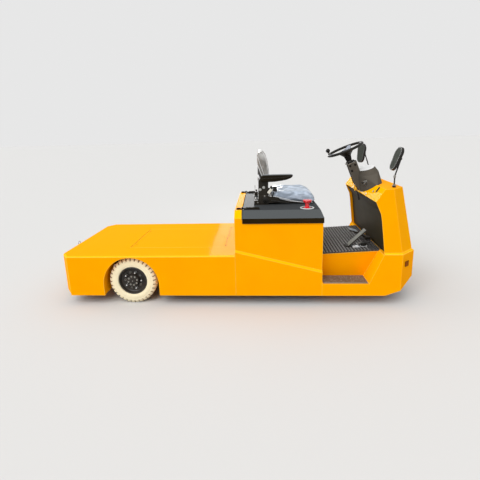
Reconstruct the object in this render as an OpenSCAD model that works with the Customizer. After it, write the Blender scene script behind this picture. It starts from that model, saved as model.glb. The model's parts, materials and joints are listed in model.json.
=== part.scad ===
// Electric tow tractor with a flat load deck, a seat box, a step-through footwell and a folded cowl.
// Millimetres. +X points to the front, +Y to the driver's left, +Z up. Z = 0 is the floor under the tyres.
// Lengths along the vehicle are given from the deck's rear panel and placed with fr().

/* [Body] */
// length of the bodywork, rear panel to front face
body_len = 3071; // [2800:1:3300]
// width over the side sheets
body_w = 1110; // [1000:1:1200]
// height of the load deck and of the belt line above the rear tyres
deck_clear = 34; // [30:1:80]
// width of the sloping facet along the deck's edges
deck_edge = 10; // [4:1:16]
// clearance under the side sheets
skirt_z = 90; // [70:1:120]
// thickness of the folded body sheets
sheet = 4; // [3:0.5:6]
// length of the load deck
deck_len = 1549; // [1400:1:1600]
// rear corner chamfer along the vehicle
rear_cx = 72; // [40:1:120]
// rear corner chamfer across the vehicle
rear_cy = 91; // [50:1:140]
// front corner chamfer along the vehicle
front_cx = 137; // [80:1:180]
// front corner chamfer across the vehicle
front_cy = 126; // [80:1:180]
// height of the rear panel's lower edge
rear_panel_z = 112; // [90:1:160]
// gap left between neighbouring pieces of one body
seat_gap = 0.3; // [0.2:0.1:1]

/* [Deck hatch] */
// start of the loose hatch plate from the rear panel
hatch_x = 562; // [540:1:620]
// length of the hatch plate
hatch_len = 880; // [600:1:900]
// width of the hatch plate
hatch_w = 640; // [500:1:700]
// thickness of the deck plate and of its hatch
deck_t = 5; // [4:0.5:8]

/* [Wheels] */
// rear wheel centre from the rear panel
rear_wheel_x = 630; // [600:1:660]
// rear tyre diameter
tyre_d = 420; // [400:1:430]
// rear tyre width
tyre_w = 104; // [90:1:115]
// rim flange diameter
rim_d = 254; // [235:1:260]
// distance from the side sheet to the rear tyre's outer wall
tyre_inset = 34; // [20:1:50]
// radius of the rear wheel arch
arch_r = 247; // [240:1:255]
// depth of the arch liner
liner_depth = 190; // [150:1:195]
// number of wheel nuts
nut_count = 5; // [4:1:8]
// wheel nut circle
nut_pcd = 150; // [130:1:165]
// front wheel centre from the rear panel
front_wheel_x = 2835; // [2820:1:2845]
// front tyre diameter
front_tyre_d = 384; // [370:1:388]
// front tyre width
front_tyre_w = 110; // [90:1:116]
// radius of the axle spindles
spindle_r = 20; // [16:1:25]
// radial running clearance of turning parts
run_fit = 0.05; // [0.02:0.01:0.1]

/* [Seat box] */
// how far the box stands in from the side sheets above its ledge
box_inset = 20; // [10:1:35]
// height of the sloping side ledge at its rear end
ledge_rear = 483; // [460:1:520]
// height of the sloping side ledge at its front end
ledge_front = 297; // [280:1:340]
// rise of the sloping facet on the side ledge
ledge_rise = 16; // [6:1:24]
// length of the seat box
box_len = 734; // [700:1:740]
// width of the fixed strip behind the lid
strip_w = 61; // [50:1:64]
// height of the lid's lower edge
lid_edge_z = 728; // [700:1:740]
// height of the fold between the lid's wall and its slope
lid_fold_z = 772; // [760:1:780]
// height of the lid's flat top
lid_top_z = 827; // [810:1:840]
// distance from the side sheets to the lid's flat top
lid_top_inset = 85; // [70:1:110]
// distance from the side sheets to the lid's wall
lid_inset = 10; // [8:1:12]

/* [Footwell] */
// length of a step tread
step_len = 393; // [340:1:400]
// radius of the step opening's lower rear corner
step_r = 12; // [4:1:30]
// height of the step treads
step_z = 198; // [180:1:220]
// depth of a step tread
step_depth = 185; // [150:1:190]
// distance from the side sheet to the mat's edge
mat_inset = 140; // [120:1:160]
// how far the mat lies below the belt line at the seat box
mat_drop_rear = 30; // [24:1:40]
// how far the mat lies below the belt line at the cowl
mat_drop_front = 2; // [1:1:8]
// spacing of the mat's ribs
rib_pitch = 27; // [22:1:40]
// width of a rib
rib_w = 14; // [8:1:20]
// height of the mat's ribs
rib_h = 5; // [2:0.5:8]

/* [Cowl] */
// rear foot of the cowl from the rear panel
cowl_x = 2789; // [2785:1:2795]
// height of the cowl's flat top
cowl_top_z = 995; // [950:1:1020]
// width of the ledge around the cowl's foot
belt = 15; // [10:1:20]
// rise of the sloping facet around the cowl's foot
foot_rise = 13; // [6:1:20]
// how far the kick panel stands in from the cowl's rear edge
kick_in = 26; // [15:1:35]

/* [Steering] */
// lean of the steering column from upright
col_tilt = 22; // [18:1:26]
// steering wheel diameter
steer_d = 340; // [320:1:360]
// distance from the column's foot to the steering wheel's centre
steer_rise = 428; // [410:1:445]

/* [Coupling] */
// how far the tow coupling stands out behind the rear panel
hitch_out = 139; // [120:1:150]
// height of the coupling's jaw
hitch_z = 300; // [280:1:320]
// radius of the tow pin
pin_r = 12; // [10:1:14]

/* [Lamps] */
// diameter of a headlamp
headlamp_d = 120; // [90:1:140]
// height of the headlamps' centres
headlamp_z = 345; // [300:1:370]
// distance of the headlamps from the middle
headlamp_y = 250; // [200:1:330]
// length of a tail lamp
tail_len = 130; // [90:1:150]
// height of a tail lamp
tail_h = 62; // [50:1:80]

/* [Hidden] */
$fn = 48;
eps = 0.01;
total_len = body_len + hitch_out;
rear_x = hitch_out - total_len / 2;
front_x = total_len / 2;
half_w = body_w / 2;
deck_h = tyre_d + deck_clear;
edge_h = deck_edge * 0.9;
skin_z = deck_h - edge_h - seat_gap;
arch_z = deck_h - deck_t - arch_r - 12;
rail_y = half_w - 235;
rail_z = 300;
rail_h = 80;
box_x0 = rear_x + deck_len;
box_x1 = box_x0 + box_len;
box_half = half_w - box_inset;
lid_x0 = box_x0 + strip_w + 6;
lid_x1 = box_x1 + 5;
lid_half = half_w - lid_inset;
top_half = half_w - lid_top_inset;
pivot_x = box_x0 + strip_w + 3;
pivot_z = lid_top_z + 11;
rear_y = half_w - tyre_inset - tyre_w / 2;
wheel_rx = rear_x + rear_wheel_x;
wheel_fx = rear_x + front_wheel_x;
step_x0 = box_x1 + seat_gap - 0.05;
step_x1 = box_x1 + step_len;
step_top_x = rear_x + 2787;
cowl_x0 = rear_x + cowl_x;
mat_rear_z = deck_h - mat_drop_rear;
mat_front_z = deck_h - mat_drop_front;
mat_x0 = box_x1 + 2;
mat_x1 = cowl_x0 + 18;
mat_half = half_w - mat_inset;
mat_slope = atan((mat_front_z - mat_rear_z) / (cowl_x0 - box_x1));
col_x = rear_x + 2718;
col_z = 894;

yellow = [0.98, 0.62, 0.02];
dark = [0.13, 0.13, 0.12];
lid_grey = [0.3, 0.31, 0.32];
metal_grey = [0.42, 0.42, 0.44];
cream = [0.86, 0.82, 0.7];
red = [0.78, 0.08, 0.08];

// place a length measured from the rear panel
function fr(d) = rear_x + d;

// place a length measured from the seat box's rear wall
function fb(d) = box_x0 + d;

// side profile (x, z) drawn across the vehicle's middle
module across(w) {
  rotate([90, 0, 0])
    linear_extrude(w, center = true)
      children();
}

// cross profile (y, z) drawn along the vehicle from x0 to x1
module along(x0, x1) {
  translate([x0, 0, 0])
    rotate([90, 0, 90])
      linear_extrude(x1 - x0)
        children();
}

module mirrored() {
  children();
  mirror([0, 1, 0])
    children();
}

// block from its low corner to its high corner
module block(lo, hi) {
  translate(lo)
    cube([hi[0] - lo[0], hi[1] - lo[1], hi[2] - lo[2]]);
}

// round bar along Y
module bar_y(r, y0, y1) {
  translate([0, y1, 0])
    rotate([90, 0, 0])
      cylinder(h = y1 - y0, r = r);
}

// plan outline with cut rear corners, inset by t
module rear_plan(t, len) {
  a = atan(rear_cx / rear_cy);
  u = tan(a / 2);
  v = tan((90 - a) / 2);
  polygon([[fr(t), -half_w + rear_cy + t * u], [fr(rear_cx + t * v), -half_w + t], [fr(len), -half_w + t],
           [fr(len), half_w - t], [fr(rear_cx + t * v), half_w - t], [fr(t), half_w - rear_cy - t * u]]);
}

// plan outline with cut front corners, inset by t, from x0
module front_plan(t, x0) {
  a = atan(front_cx / front_cy);
  u = tan(a / 2);
  v = tan((90 - a) / 2);
  polygon([[x0, -half_w + t], [front_x - front_cx - t * v, -half_w + t], [front_x - t, -half_w + front_cy + t * u],
           [front_x - t, half_w - front_cy - t * u], [front_x - front_cx - t * v, half_w - t], [x0, half_w - t]]);
}

// Load deck

module deck_plate() {
  color(yellow)
    difference() {
      union() {
        difference() {
          // sheet with its edges folded down along a sloping facet
          hull() {
            translate([0, 0, deck_h - edge_h])
              linear_extrude(0.1)
                rear_plan(0, deck_len - 1);
            translate([0, 0, deck_h - 0.1])
              linear_extrude(0.1)
                rear_plan(deck_edge, deck_len - 1);
          }
          translate([0, 0, deck_h - edge_h - 1])
            linear_extrude(edge_h + 1 - deck_t)
              rear_plan(deck_edge + 4, deck_len + 5);
        }
        // frame that carries the hatch
        block([fr(hatch_x - 15), -hatch_w / 2 - 15, deck_h - deck_t - 12],
              [fr(hatch_x + hatch_len + 15), hatch_w / 2 + 15, deck_h - 1]);
      }
      block([fr(hatch_x), -hatch_w / 2, deck_h - deck_t], [fr(hatch_x + hatch_len), hatch_w / 2, deck_h + 20]);
      block([fr(hatch_x + 20), -hatch_w / 2 + 20, deck_h - 40],
            [fr(hatch_x + hatch_len - 20), hatch_w / 2 - 20, deck_h + 20]);
    }
}

module deck_hatch() {
  color(yellow)
    difference() {
      block([fr(hatch_x + 1.5), -hatch_w / 2 + 1.5, deck_h - deck_t + seat_gap],
            [fr(hatch_x + hatch_len - 1.5), hatch_w / 2 - 1.5, deck_h]);
      translate([fr(hatch_x + hatch_len - 40), 0, deck_h - 20])
        cylinder(h = 40, r = 9);
    }
}

module arch_cut(r, y0, y1) {
  translate([wheel_rx, 0, arch_z])
    bar_y(r, y0, y1);
  block([wheel_rx - r, y0, 0], [wheel_rx + r, y1, arch_z]);
}

module deck_skirts() {
  z1 = skin_z;
  x0 = fr(rear_cx + 3);
  x1 = fr(deck_len - 1);
  color(yellow)
    mirrored()
      difference() {
        union() {
          block([x0, half_w - sheet, skirt_z], [x1, half_w, z1]);
          block([x0, half_w - 28, skirt_z], [x1, half_w - eps, skirt_z + sheet]);
        }
        arch_cut(arch_r, half_w - 40, half_w + 10);
      }
}

module rear_panel() {
  z1 = skin_z;
  color(yellow)
    difference() {
      union() {
        translate([0, 0, rear_panel_z])
          linear_extrude(z1 - rear_panel_z)
            difference() {
              rear_plan(0, rear_cx + 2.5);
              rear_plan(sheet, rear_cx + 20);
            }
        // flange folded inward along the lower edge
        translate([0, 0, rear_panel_z])
          linear_extrude(sheet)
            difference() {
              rear_plan(0.5, rear_cx - 5);
              rear_plan(26, rear_cx + 20);
            }
      }
      // openings for the tail lamps
      for (s = [-1, 1])
        block([fr(-5), s * tail_y - tail_len / 2 + 8, tail_z - tail_h / 2 + 8],
              [fr(10), s * tail_y + tail_len / 2 - 8, tail_z + tail_h / 2 - 8]);
    }
}

tail_y = half_w - rear_cy - tail_len / 2 - 12;
tail_z = deck_h - 70;
module tail_lamps() {
  color(red)
    for (s = [-1, 1])
      translate([0, s * tail_y, tail_z]) {
        difference() {
          block([fr(-7), -tail_len / 2, -tail_h / 2], [fr(-seat_gap), tail_len / 2, tail_h / 2]);
          // groove between the two fields of the lens
          block([fr(-10), -1.5, -tail_h / 2 + 5], [fr(-5), 1.5, tail_h / 2 - 5]);
        }
        // housing in the panel's opening
        block([fr(-seat_gap - eps), -tail_len / 2 + 8.5, -tail_h / 2 + 8.5],
              [fr(sheet - 0.4), tail_len / 2 - 8.5, tail_h / 2 - 8.5]);
      }
}

module headlamps() {
  color([0.86, 0.88, 0.9])
    for (s = [-1, 1])
      translate([front_x, s * headlamp_y, headlamp_z])
        rotate([0, -90, 0])
          rotate_extrude($fn = 64)
            polygon([[0, 1], [headlamp_d / 2 - 14, 2.5], [headlamp_d / 2 - 9, 0.5], [headlamp_d / 2 - seat_gap, 0.5],
                     [headlamp_d / 2 - seat_gap, 10], [headlamp_d / 2 - 16, 24], [20, 30], [0, 30]]);
}

module arch_liners() {
  color(yellow)
    mirrored()
      difference() {
        arch_cut(arch_r + 3, half_w - liner_depth, half_w - sheet - seat_gap);
        arch_cut(arch_r, half_w - liner_depth - 10, half_w + 10);
        block([wheel_rx - 300, 0, -200], [wheel_rx + 300, half_w, skirt_z + sheet + 1]);
      }
}

// Seat box and lid

module box_profile(h, e, t) {
  polygon([[-box_half + t, h], [-box_half + t, lid_fold_z - e], [-top_half + t * 0.3, lid_top_z - t],
           [top_half - t * 0.3, lid_top_z - t], [box_half - t, lid_fold_z - e], [box_half - t, h]]);
}

module ledge_facet(z) {
  polygon([[box_half - 2, z - 8], [half_w, z - 8], [half_w, z], [box_half, z + ledge_rise],
           [box_half - 2, z + ledge_rise]]);
}

module seat_box() {
  t = sheet;
  color(yellow)
    difference() {
      union() {
        across(body_w)
          polygon([[box_x0, skirt_z], [box_x1, skirt_z], [box_x1, ledge_front], [box_x0, ledge_rear]]);
        // sloping facet along the side ledge
        mirrored()
          hull() {
            along(box_x0, box_x0 + 0.1)
              ledge_facet(ledge_rear);
            along(box_x1 - 0.1, box_x1)
              ledge_facet(ledge_front);
          }
        block([box_x0, -box_half, ledge_front - 50], [box_x1, box_half, lid_edge_z - 5.5]);
        // upright edge that the lid closes over
        block([box_x0, -box_half, ledge_front - 50], [box_x1 - 5, box_half, lid_edge_z + 30]);
        along(box_x0, box_x0 + strip_w)
          box_profile(ledge_rear, 0, 0);
      }
      across(body_w - 2 * t)
        polygon([[box_x0 + t, skirt_z - 10], [box_x1 - t, skirt_z - 10], [box_x1 - t, ledge_front - t],
                 [box_x0 + t, ledge_rear - t]]);
      block([box_x0 + t, -box_half + t, skirt_z - 10], [box_x1 - t, box_half - t, lid_edge_z]);
      block([box_x0 + strip_w - 1, -box_half + 25, lid_edge_z - 20], [box_x1 - 25, box_half - 25, lid_top_z + 20]);
      along(box_x0 + t, box_x0 + strip_w + 1)
        box_profile(ledge_rear, t * 0.4, t);
      // room for the frame rails in the rear and front walls
      for (s = [-1, 1])
        block([box_x0 - 5, s * rail_y - 27, rail_z - 2], [box_x1 + 5, s * rail_y + 27, rail_z + rail_h + 2]);
      // room for the drive motor
      block([box_x0 - 5, -150, skirt_z - 10], [box_x0 + t + 1, 150, 330]);
    }
}

hinge_y = half_w - 130;
module hinge_leaves() {
  color(dark)
    for (s = [-1, 1])
      translate([0, s * hinge_y, 0]) {
        block([box_x0 + 12, -19, lid_top_z + seat_gap], [pivot_x - 9, 19, lid_top_z + 4]);
        for (y = [-14.2, 14.2])
          difference() {
            union() {
              translate([pivot_x, 0, pivot_z])
                bar_y(7, y - 4.8, y + 4.8);
              block([pivot_x - 12, y - 4.8, lid_top_z + seat_gap], [pivot_x - 2, y + 4.8, pivot_z]);
            }
            block([pivot_x - 4, y - 6, lid_top_z - 5], [pivot_x + 3, y + 6, lid_top_z + 2]);
          }
        translate([pivot_x, 0, pivot_z])
          bar_y(3.95, -18, 18);
      }
}

module lid_hinges() {
  color(dark)
    for (s = [-1, 1])
      translate([0, s * hinge_y, 0])
        difference() {
          union() {
            translate([pivot_x, 0, pivot_z])
              bar_y(7, -8.8, 8.8);
            block([pivot_x + 2, -8.8, pivot_z - 6], [lid_x0 + 20, 8.8, pivot_z]);
            block([lid_x0 + 10, -19, lid_top_z + seat_gap], [lid_x0 + 145, 19, lid_top_z + 6]);
          }
          translate([pivot_x, 0, pivot_z])
            bar_y(3.95 + run_fit, -30, 30);
        }
}

module lid_form(t) {
  intersection() {
    along(lid_x0 + t, lid_x1 - t)
      polygon([[-lid_half + t, lid_edge_z - t * 10], [-lid_half + t, lid_fold_z - t * 0.4],
               [-top_half + t * 0.3, lid_top_z - t], [top_half - t * 0.3, lid_top_z - t],
               [lid_half - t, lid_fold_z - t * 0.4], [lid_half - t, lid_edge_z - t * 10]]);
    across(body_w)
      polygon([[lid_x0, 400], [lid_x1 - t, 400], [lid_x1 - t, lid_fold_z - t * 0.4], [lid_x1 - 20 - t, lid_top_z - t],
               [lid_x1 - 20 - t, lid_top_z + 5], [lid_x0, lid_top_z + 5]]);
  }
}

module seat_lid() {
  color(lid_grey)
    difference() {
      lid_form(0);
      lid_form(3);
      // the rear wall ends above the box's upright edge
      block([lid_x0 - 1, -box_half - 3, lid_edge_z - 5], [lid_x0 + 4, box_half + 3, lid_edge_z + 37]);
    }
}

// Driver's seat

seat_y = 230;
// underside of the cushion at a length d from the seat box's rear wall
function under_z(d) = 864 - 0.072 * (d - 331);

module seat_frame() {
  z0 = lid_top_z + seat_gap;
  color(dark) {
    for (s = [-1, 1]) {
      // slide rail with its foot and stop
      block([fb(196), s * 160 - 22, z0], [fb(641), s * 160 + 22, z0 + 10]);
      // side plate that carries the backrest, with its round ends
      translate([0, s * (seat_y + 14), 0])
        rotate([90, 0, 0])
          linear_extrude(8, center = true)
            hull() {
              translate([fb(247), 1030])
                circle(r = 44);
              translate([fb(245), 890])
                circle(r = 44);
            }
      // recliner cover along the cushion
      translate([0, s * (seat_y + 14), 0])
        rotate([90, 0, 0])
          linear_extrude(14, center = true)
            hull() {
              translate([fb(251), 878])
                circle(r = 36);
              translate([fb(373), 871])
                circle(r = 20);
            }
      // foot of the side plate and its rear block
      block([fb(201), s * (seat_y + 6) - 12, z0], [fb(291), s * (seat_y + 6) + 12, 880]);
      block([fb(163), s * (seat_y + 6) - 14, z0], [fb(203), s * (seat_y + 6) + 14, z0 + 40]);
      translate([fb(179), s * (seat_y + 6), z0 + 56])
        bar_y(9, -12, 12);
      block([fb(175), s * (seat_y + 6) - 6, z0 + 38], [fb(183), s * (seat_y + 6) + 6, z0 + 52]);
    }
    // bosses that hold the backrest
    mirrored()
      translate([fb(251), 0, 1056])
        bar_y(16, seat_y + 1.4, seat_y + 16);
    // hollow base that slopes down to the front, under the cushion
    difference() {
      across(2 * seat_y - 28)
        polygon([[fb(196), z0 + 10 - eps], [fb(621), z0 + 10 - eps], [fb(621), under_z(621) - seat_gap],
                 [fb(196), under_z(196) - seat_gap]]);
      across(2 * seat_y - 36)
        polygon([[fb(200), z0 + 5], [fb(551), z0 + 5], [fb(551), under_z(551) - 4],
                 [fb(200), under_z(200) - 4]]);
    }
    // crossbar between the side plates
    translate([fb(251), 0, 900])
      bar_y(12, -seat_y - 13, seat_y + 13);
    for (y = [-150, 150])
      block([fb(241), y - 12, 860], [fb(261), y + 12, 892]);
  }
}

// round corners of a pad at the places of a list, on both sides
module pad(places, half, r) {
  hull()
    for (p = places, s = [-1, 1])
      translate([fb(p[0]), s * (half - r), p[1]])
        sphere(r = r, $fn = 16);
}

module seat_cushion() {
  r = 24;
  color(dark)
    pad([[341, under_z(341) + r], [698, under_z(698) + r], [341, 905], [511, 912], [619, 905], [673, 888]],
        seat_y + 5, r);
}

module seat_backrest() {
  color(dark)
    pad([[219, 1012], [273, 1012], [274, 1090], [253, 1200], [234, 1283], [217, 1283]], seat_y + 1, 22);
}

module armrest_right() {
  y = -seat_y - 45;
  color(dark) {
    translate([fb(247), -seat_y - 22, 1058])
      bar_y(12, -3.7, 3.7);
    translate([0, y, 0])
      rotate([90, 0, 0])
        linear_extrude(44, center = true)
          polygon([[fb(219), 1060], [fb(227), 1090], [fb(243), 1104], [fb(487), 1104], [fb(503), 1098],
                   [fb(504), 1090], [fb(487), 1068], [fb(451), 1055], [fb(381), 1042], [fb(301), 1035], [fb(241), 1038]]);
  }
}

stop_x = fb(616);
stop_y = -half_w + 148;
module stop_ring() {
  color([0.85, 0.85, 0.83])
    translate([stop_x, stop_y, lid_top_z + seat_gap])
      difference() {
        cylinder(h = 7, r = 60);
        translate([0, 0, -1])
          cylinder(h = 20, r = 46);
      }
}

module stop_button() {
  color(red)
    translate([stop_x, stop_y, lid_top_z + seat_gap]) {
      cylinder(h = 8, r = 30);
      cylinder(h = 60, r = 17);
      translate([0, 0, 46])
        cylinder(h = 26, r1 = 30, r2 = 38);
    }
}

// Front body, steps and footwell

// side profile of a step opening, grown by t
module step_profile(t) {
  corner = [for (i = [0:1:4]) let (a = 180 + i * 22.5) [step_x0 + step_r + (step_r + t) * cos(a),
            step_z + step_r + (step_r + t) * sin(a)]];
  polygon(concat([[step_x0 - t, deck_h + 5]], corner,
                 [[step_x1 + t * 0.7, step_z - t], [step_top_x + t * 1.1, deck_h + 5]]));
}

// cross profile of a step opening, grown by t
module step_cross(t) {
  polygon([[half_w + 20, step_z - t], [half_w - step_depth - t, step_z - t], [mat_half - t, deck_h + 5],
           [half_w + 20, deck_h + 5]]);
}

module step_space(t) {
  mirrored()
    intersection() {
      across(body_w + 60)
        step_profile(t);
      along(step_x0 - 20, step_top_x + 20)
        step_cross(t);
    }
}

module front_rise(dz) {
  across(body_w + 60)
    polygon([[fr(2811), -5], [fr(2811), skirt_z + dz], [fr(2938), 137 + dz], [front_x + 1, 221 + dz],
             [front_x + 30, 221 + dz], [front_x + 30, -5]]);
}

module front_body() {
  t = sheet;
  x0 = box_x1 + seat_gap;
  color(yellow)
    difference() {
      union() {
        // outer sheets and belt plate
        difference() {
          translate([0, 0, skirt_z])
            linear_extrude(deck_h - skirt_z)
              front_plan(0, x0);
          translate([0, 0, skirt_z - 10])
            linear_extrude(deck_h - skirt_z + 10 - t)
              front_plan(t, x0 - 10);
        }
        // sheets of the two step recesses
        intersection() {
          step_space(t);
          translate([0, 0, skirt_z])
            linear_extrude(deck_h - skirt_z)
              front_plan(0.5, x0);
        }
      }
      step_space(0);
      front_rise(0);
      // footwell between the risers
      across(2 * mat_half)
        polygon([[x0 - 1, mat_rear_z - 14], [cowl_x0 + 30, mat_front_z - 14], [cowl_x0 + 30, 600], [x0 - 1, 600]]);
      // risers end under the mat's edge
      across(body_w + 20)
        polygon([[x0 - 1, mat_rear_z - 4], [step_top_x - 3, mat_front_z - 4], [step_top_x - 3, 600], [x0 - 1, 600]]);
      // opening under the cowl
      translate([0, 0, deck_h - 20])
        linear_extrude(40)
          front_plan(belt + 26, cowl_x0 + 20);
      // openings for the headlamps
      for (s = [-1, 1])
        translate([front_x - 20, s * headlamp_y, headlamp_z])
          rotate([0, 90, 0])
            cylinder(h = 40, r = headlamp_d / 2);
    }
}

module step_treads() {
  color([0.35, 0.3, 0.27])
    mirrored() {
      block([step_x0 + step_r, half_w - step_depth + 5, step_z + seat_gap], [step_x1 - 6, half_w - 8, step_z + 3]);
      for (i = [0:1:6])
        block([step_x0 + step_r + 6, half_w - step_depth + 12 + i * 24, step_z + 3 - eps],
              [step_x1 - 12, half_w - step_depth + 20 + i * 24, step_z + 5]);
    }
}

module footwell_floor() {
  color(yellow)
    difference() {
      across(2 * mat_half - 2)
        polygon([[box_x1 + seat_gap, mat_rear_z - 13.5], [cowl_x0 + 24, mat_front_z - 13.5],
                 [cowl_x0 + 24, mat_front_z - 9.5], [box_x1 + seat_gap, mat_rear_z - 9.5]]);
      block([cowl_x0 - 10, -96, 300], [cowl_x0 + 50, 96, 500]);
    }
}

module floor_mat() {
  n = floor((mat_x1 - mat_x0 - 10 - rib_w) / rib_pitch);
  color(dark)
    translate([mat_x0, 0, mat_rear_z - 9.2])
      rotate([0, -mat_slope, 0])
        difference() {
          union() {
            block([0, -mat_half + 3, 0], [mat_x1 - mat_x0 - 2, mat_half - 3, 5]);
            for (i = [0:1:n])
              block([6 + i * rib_pitch, -mat_half + 3, 5 - eps], [6 + rib_w + i * rib_pitch, mat_half - 3, 5 + rib_h]);
          }
          block([-5, -2, 2.5], [mat_x1 - mat_x0 + 5, 2, 20]);
        }
}

// Cowl

// rear edge of the cowl from foot to top, shifted forward by d and down by t
function cowl_rear(d, t) = [[cowl_x0 + d, deck_h + seat_gap], [fr(2755) + d, 735], [fr(2745) + d, 790],
                            [fr(2700) + d, 893 - t], [fr(2768) + d, cowl_top_z - t]];

// wedge whose walls lean in towards the top, inset by t
module cowl_wedge(t) {
  b = belt + t;
  hull() {
    translate([0, 0, deck_h + seat_gap])
      linear_extrude(0.1)
        polygon([[fr(2600), -half_w + b], [front_x - front_cx - t * 0.4, -half_w + b],
                 [front_x - b, -half_w + front_cy + belt * 0.3 + t * 0.4],
                 [front_x - b, half_w - front_cy - belt * 0.3 - t * 0.4],
                 [front_x - front_cx - t * 0.4, half_w - b], [fr(2600), half_w - b]]);
    translate([0, 0, cowl_top_z - 0.1])
      linear_extrude(0.1)
        polygon([[fr(2600), -half_w + 34 + t], [fr(2836) - t * 0.4, -half_w + 34 + t],
                 [fr(2945) - t, -half_w + 150 + t * 0.4], [fr(2945) - t, half_w - 150 - t * 0.4],
                 [fr(2836) - t * 0.4, half_w - 34 - t], [fr(2600), half_w - 34 - t]]);
  }
}

// sloping facet from the belt line up to the cowl's walls
module cowl_foot() {
  b = belt + 0.5;
  hull() {
    translate([0, 0, deck_h + seat_gap])
      linear_extrude(0.1)
        front_plan(1, cowl_x0);
    translate([0, 0, deck_h + foot_rise])
      linear_extrude(0.1)
        polygon([[cowl_x0, -half_w + b], [front_x - front_cx, -half_w + b],
                 [front_x - b, -half_w + front_cy + belt * 0.3], [front_x - b, half_w - front_cy - belt * 0.3],
                 [front_x - front_cx, half_w - b], [cowl_x0, half_w - b]]);
  }
}

module cowl_shell() {
  t = sheet;
  color(yellow)
    difference() {
      union() {
        intersection() {
          cowl_wedge(0);
          across(body_w)
            polygon(concat(cowl_rear(0, 0), [[front_x + 10, cowl_top_z], [front_x + 10, deck_h + seat_gap]]));
        }
        cowl_foot();
      }
      // inside, open to the rear and below
      intersection() {
        translate([0, 0, -eps])
          cowl_wedge(t);
        across(body_w)
          polygon([[fr(2600), deck_h - 5], [fr(2600), 893 - t * 2], [fr(2704), 893 - t * 0.6],
                   [fr(2770), cowl_top_z - t], [front_x + 10, cowl_top_z - t], [front_x + 10, deck_h - 5]]);
      }
      // slot for the column
      block([fr(2716), -26, 896], [fr(2752), 26, 990]);
      // slotted grip in the sloping facet
      translate([fr(2700) + 0.76 * 68, -half_w + 167, 893 + 0.76 * (cowl_top_z - 893)])
        rotate([0, -facet_a, 0])
          hull()
            for (x = [-15, 15])
              translate([x, 0, -30])
                cylinder(h = 60, r = 9);
    }
}

module kick_panel() {
  t = 4;
  p = cowl_rear(kick_in, 6);
  q = cowl_rear(kick_in + t, 6);
  color(dark)
    intersection() {
      across(body_w)
        polygon([[p[0][0], mat_front_z + 3], p[1], p[2], [fr(2722), 872], [fr(2722) + t, 872 + 2], q[2], q[1],
                 [q[0][0], mat_front_z + 3]]);
      cowl_wedge(sheet + seat_gap);
    }
}

// Steering and controls

module on_column(d) {
  translate([col_x, 0, col_z])
    rotate([0, -col_tilt, 0])
      translate([0, 0, d])
        children();
}

module steering_column() {
  color(metal_grey)
    on_column(0) {
      difference() {
        // square housing that stands on the sloping facet, its rear lower corner cut
        rotate([90, 0, 0])
          linear_extrude(80, center = true)
            polygon([[-30, 288], [-30, 98], [-20, 60], [-9, 20], [-6, 14], [52, 53.5], [52, 288]]);
        block([-26, -36, 75], [48, 36, 284]);
        translate([0, 0, 270])
          cylinder(h = 30, r = 16);
        translate([0, 0, -20])
          cylinder(h = 110, r = 16);
      }
    }
  color(dark)
    on_column(0) {
      difference() {
        union() {
          translate([0, 0, 288 - eps])
            cylinder(h = 26, r = 27);
          translate([0, 0, 270])
            cylinder(h = 20, r = 24);
        }
        translate([0, 0, 200])
          cylinder(h = 200, r = 11 + run_fit);
      }
    }
}

module steering_wheel() {
  color(dark)
    on_column(0) {
      // shaft
      translate([0, 0, 240])
        cylinder(h = steer_rise - 240, r = 11);
      // rim
      translate([0, 0, steer_rise])
        rotate_extrude($fn = 64)
          translate([steer_d / 2 - 12, 0])
            circle(r = 12, $fn = 20);
      // hub and dished cover
      translate([0, 0, steer_rise - 62])
        cylinder(h = 45, r1 = 34, r2 = 77);
      for (a = [60, 180, 300])
        rotate([0, 0, a])
          translate([0, 0, steer_rise - 30])
            rotate([0, -12, 0])
              block([60, -16, -4], [steer_d / 2 - 8, 16, 4]);
      // knob
      rotate([0, 0, 150])
        translate([steer_d / 2 - 12, 0, steer_rise + 8]) {
          cylinder(h = 20, r = 8);
          translate([0, 0, 32])
            sphere(r = 20, $fn = 32);
        }
    }
}

// the two rings of the instrument pod: length, height over the cowl, half length, half width, tilt
pod_rings = [[2754, 121, 73, 134, 19], [2770, 74, 94, 160, 15.5]];
// the pod's foot on the sloping facet (y, share of the facet's length) and on the cowl's top (length, y)
pod_foot = [[0, 0.02], [60, 0.075], [120, 0.18], [180, 0.375], [230, 0.61], [270, 0.83], [295, 1]];
pod_nose = [[2781, 295], [2811, 250], [2841, 200], [2863, 150], [2874, 90], [2878, 30]];
facet_l = sqrt(pow(cowl_top_z - 893, 2) + pow(68, 2));
facet_a = atan((cowl_top_z - 893) / 68);

module pod_ring(r) {
  translate([fr(r[0]), 0, cowl_top_z + r[1]])
    rotate([0, -r[4], 0])
      linear_extrude(1)
        polygon([for (i = [0:1:39]) [r[2] * cos(i * 9), r[3] * sin(i * 9)]]);
}

// seat of the key switch on the pod's wall, facing the driver
module on_switch() {
  translate([fr(2728), -143, cowl_top_z + 5])
    rotate([0, -90, 30])
      children();
}

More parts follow.
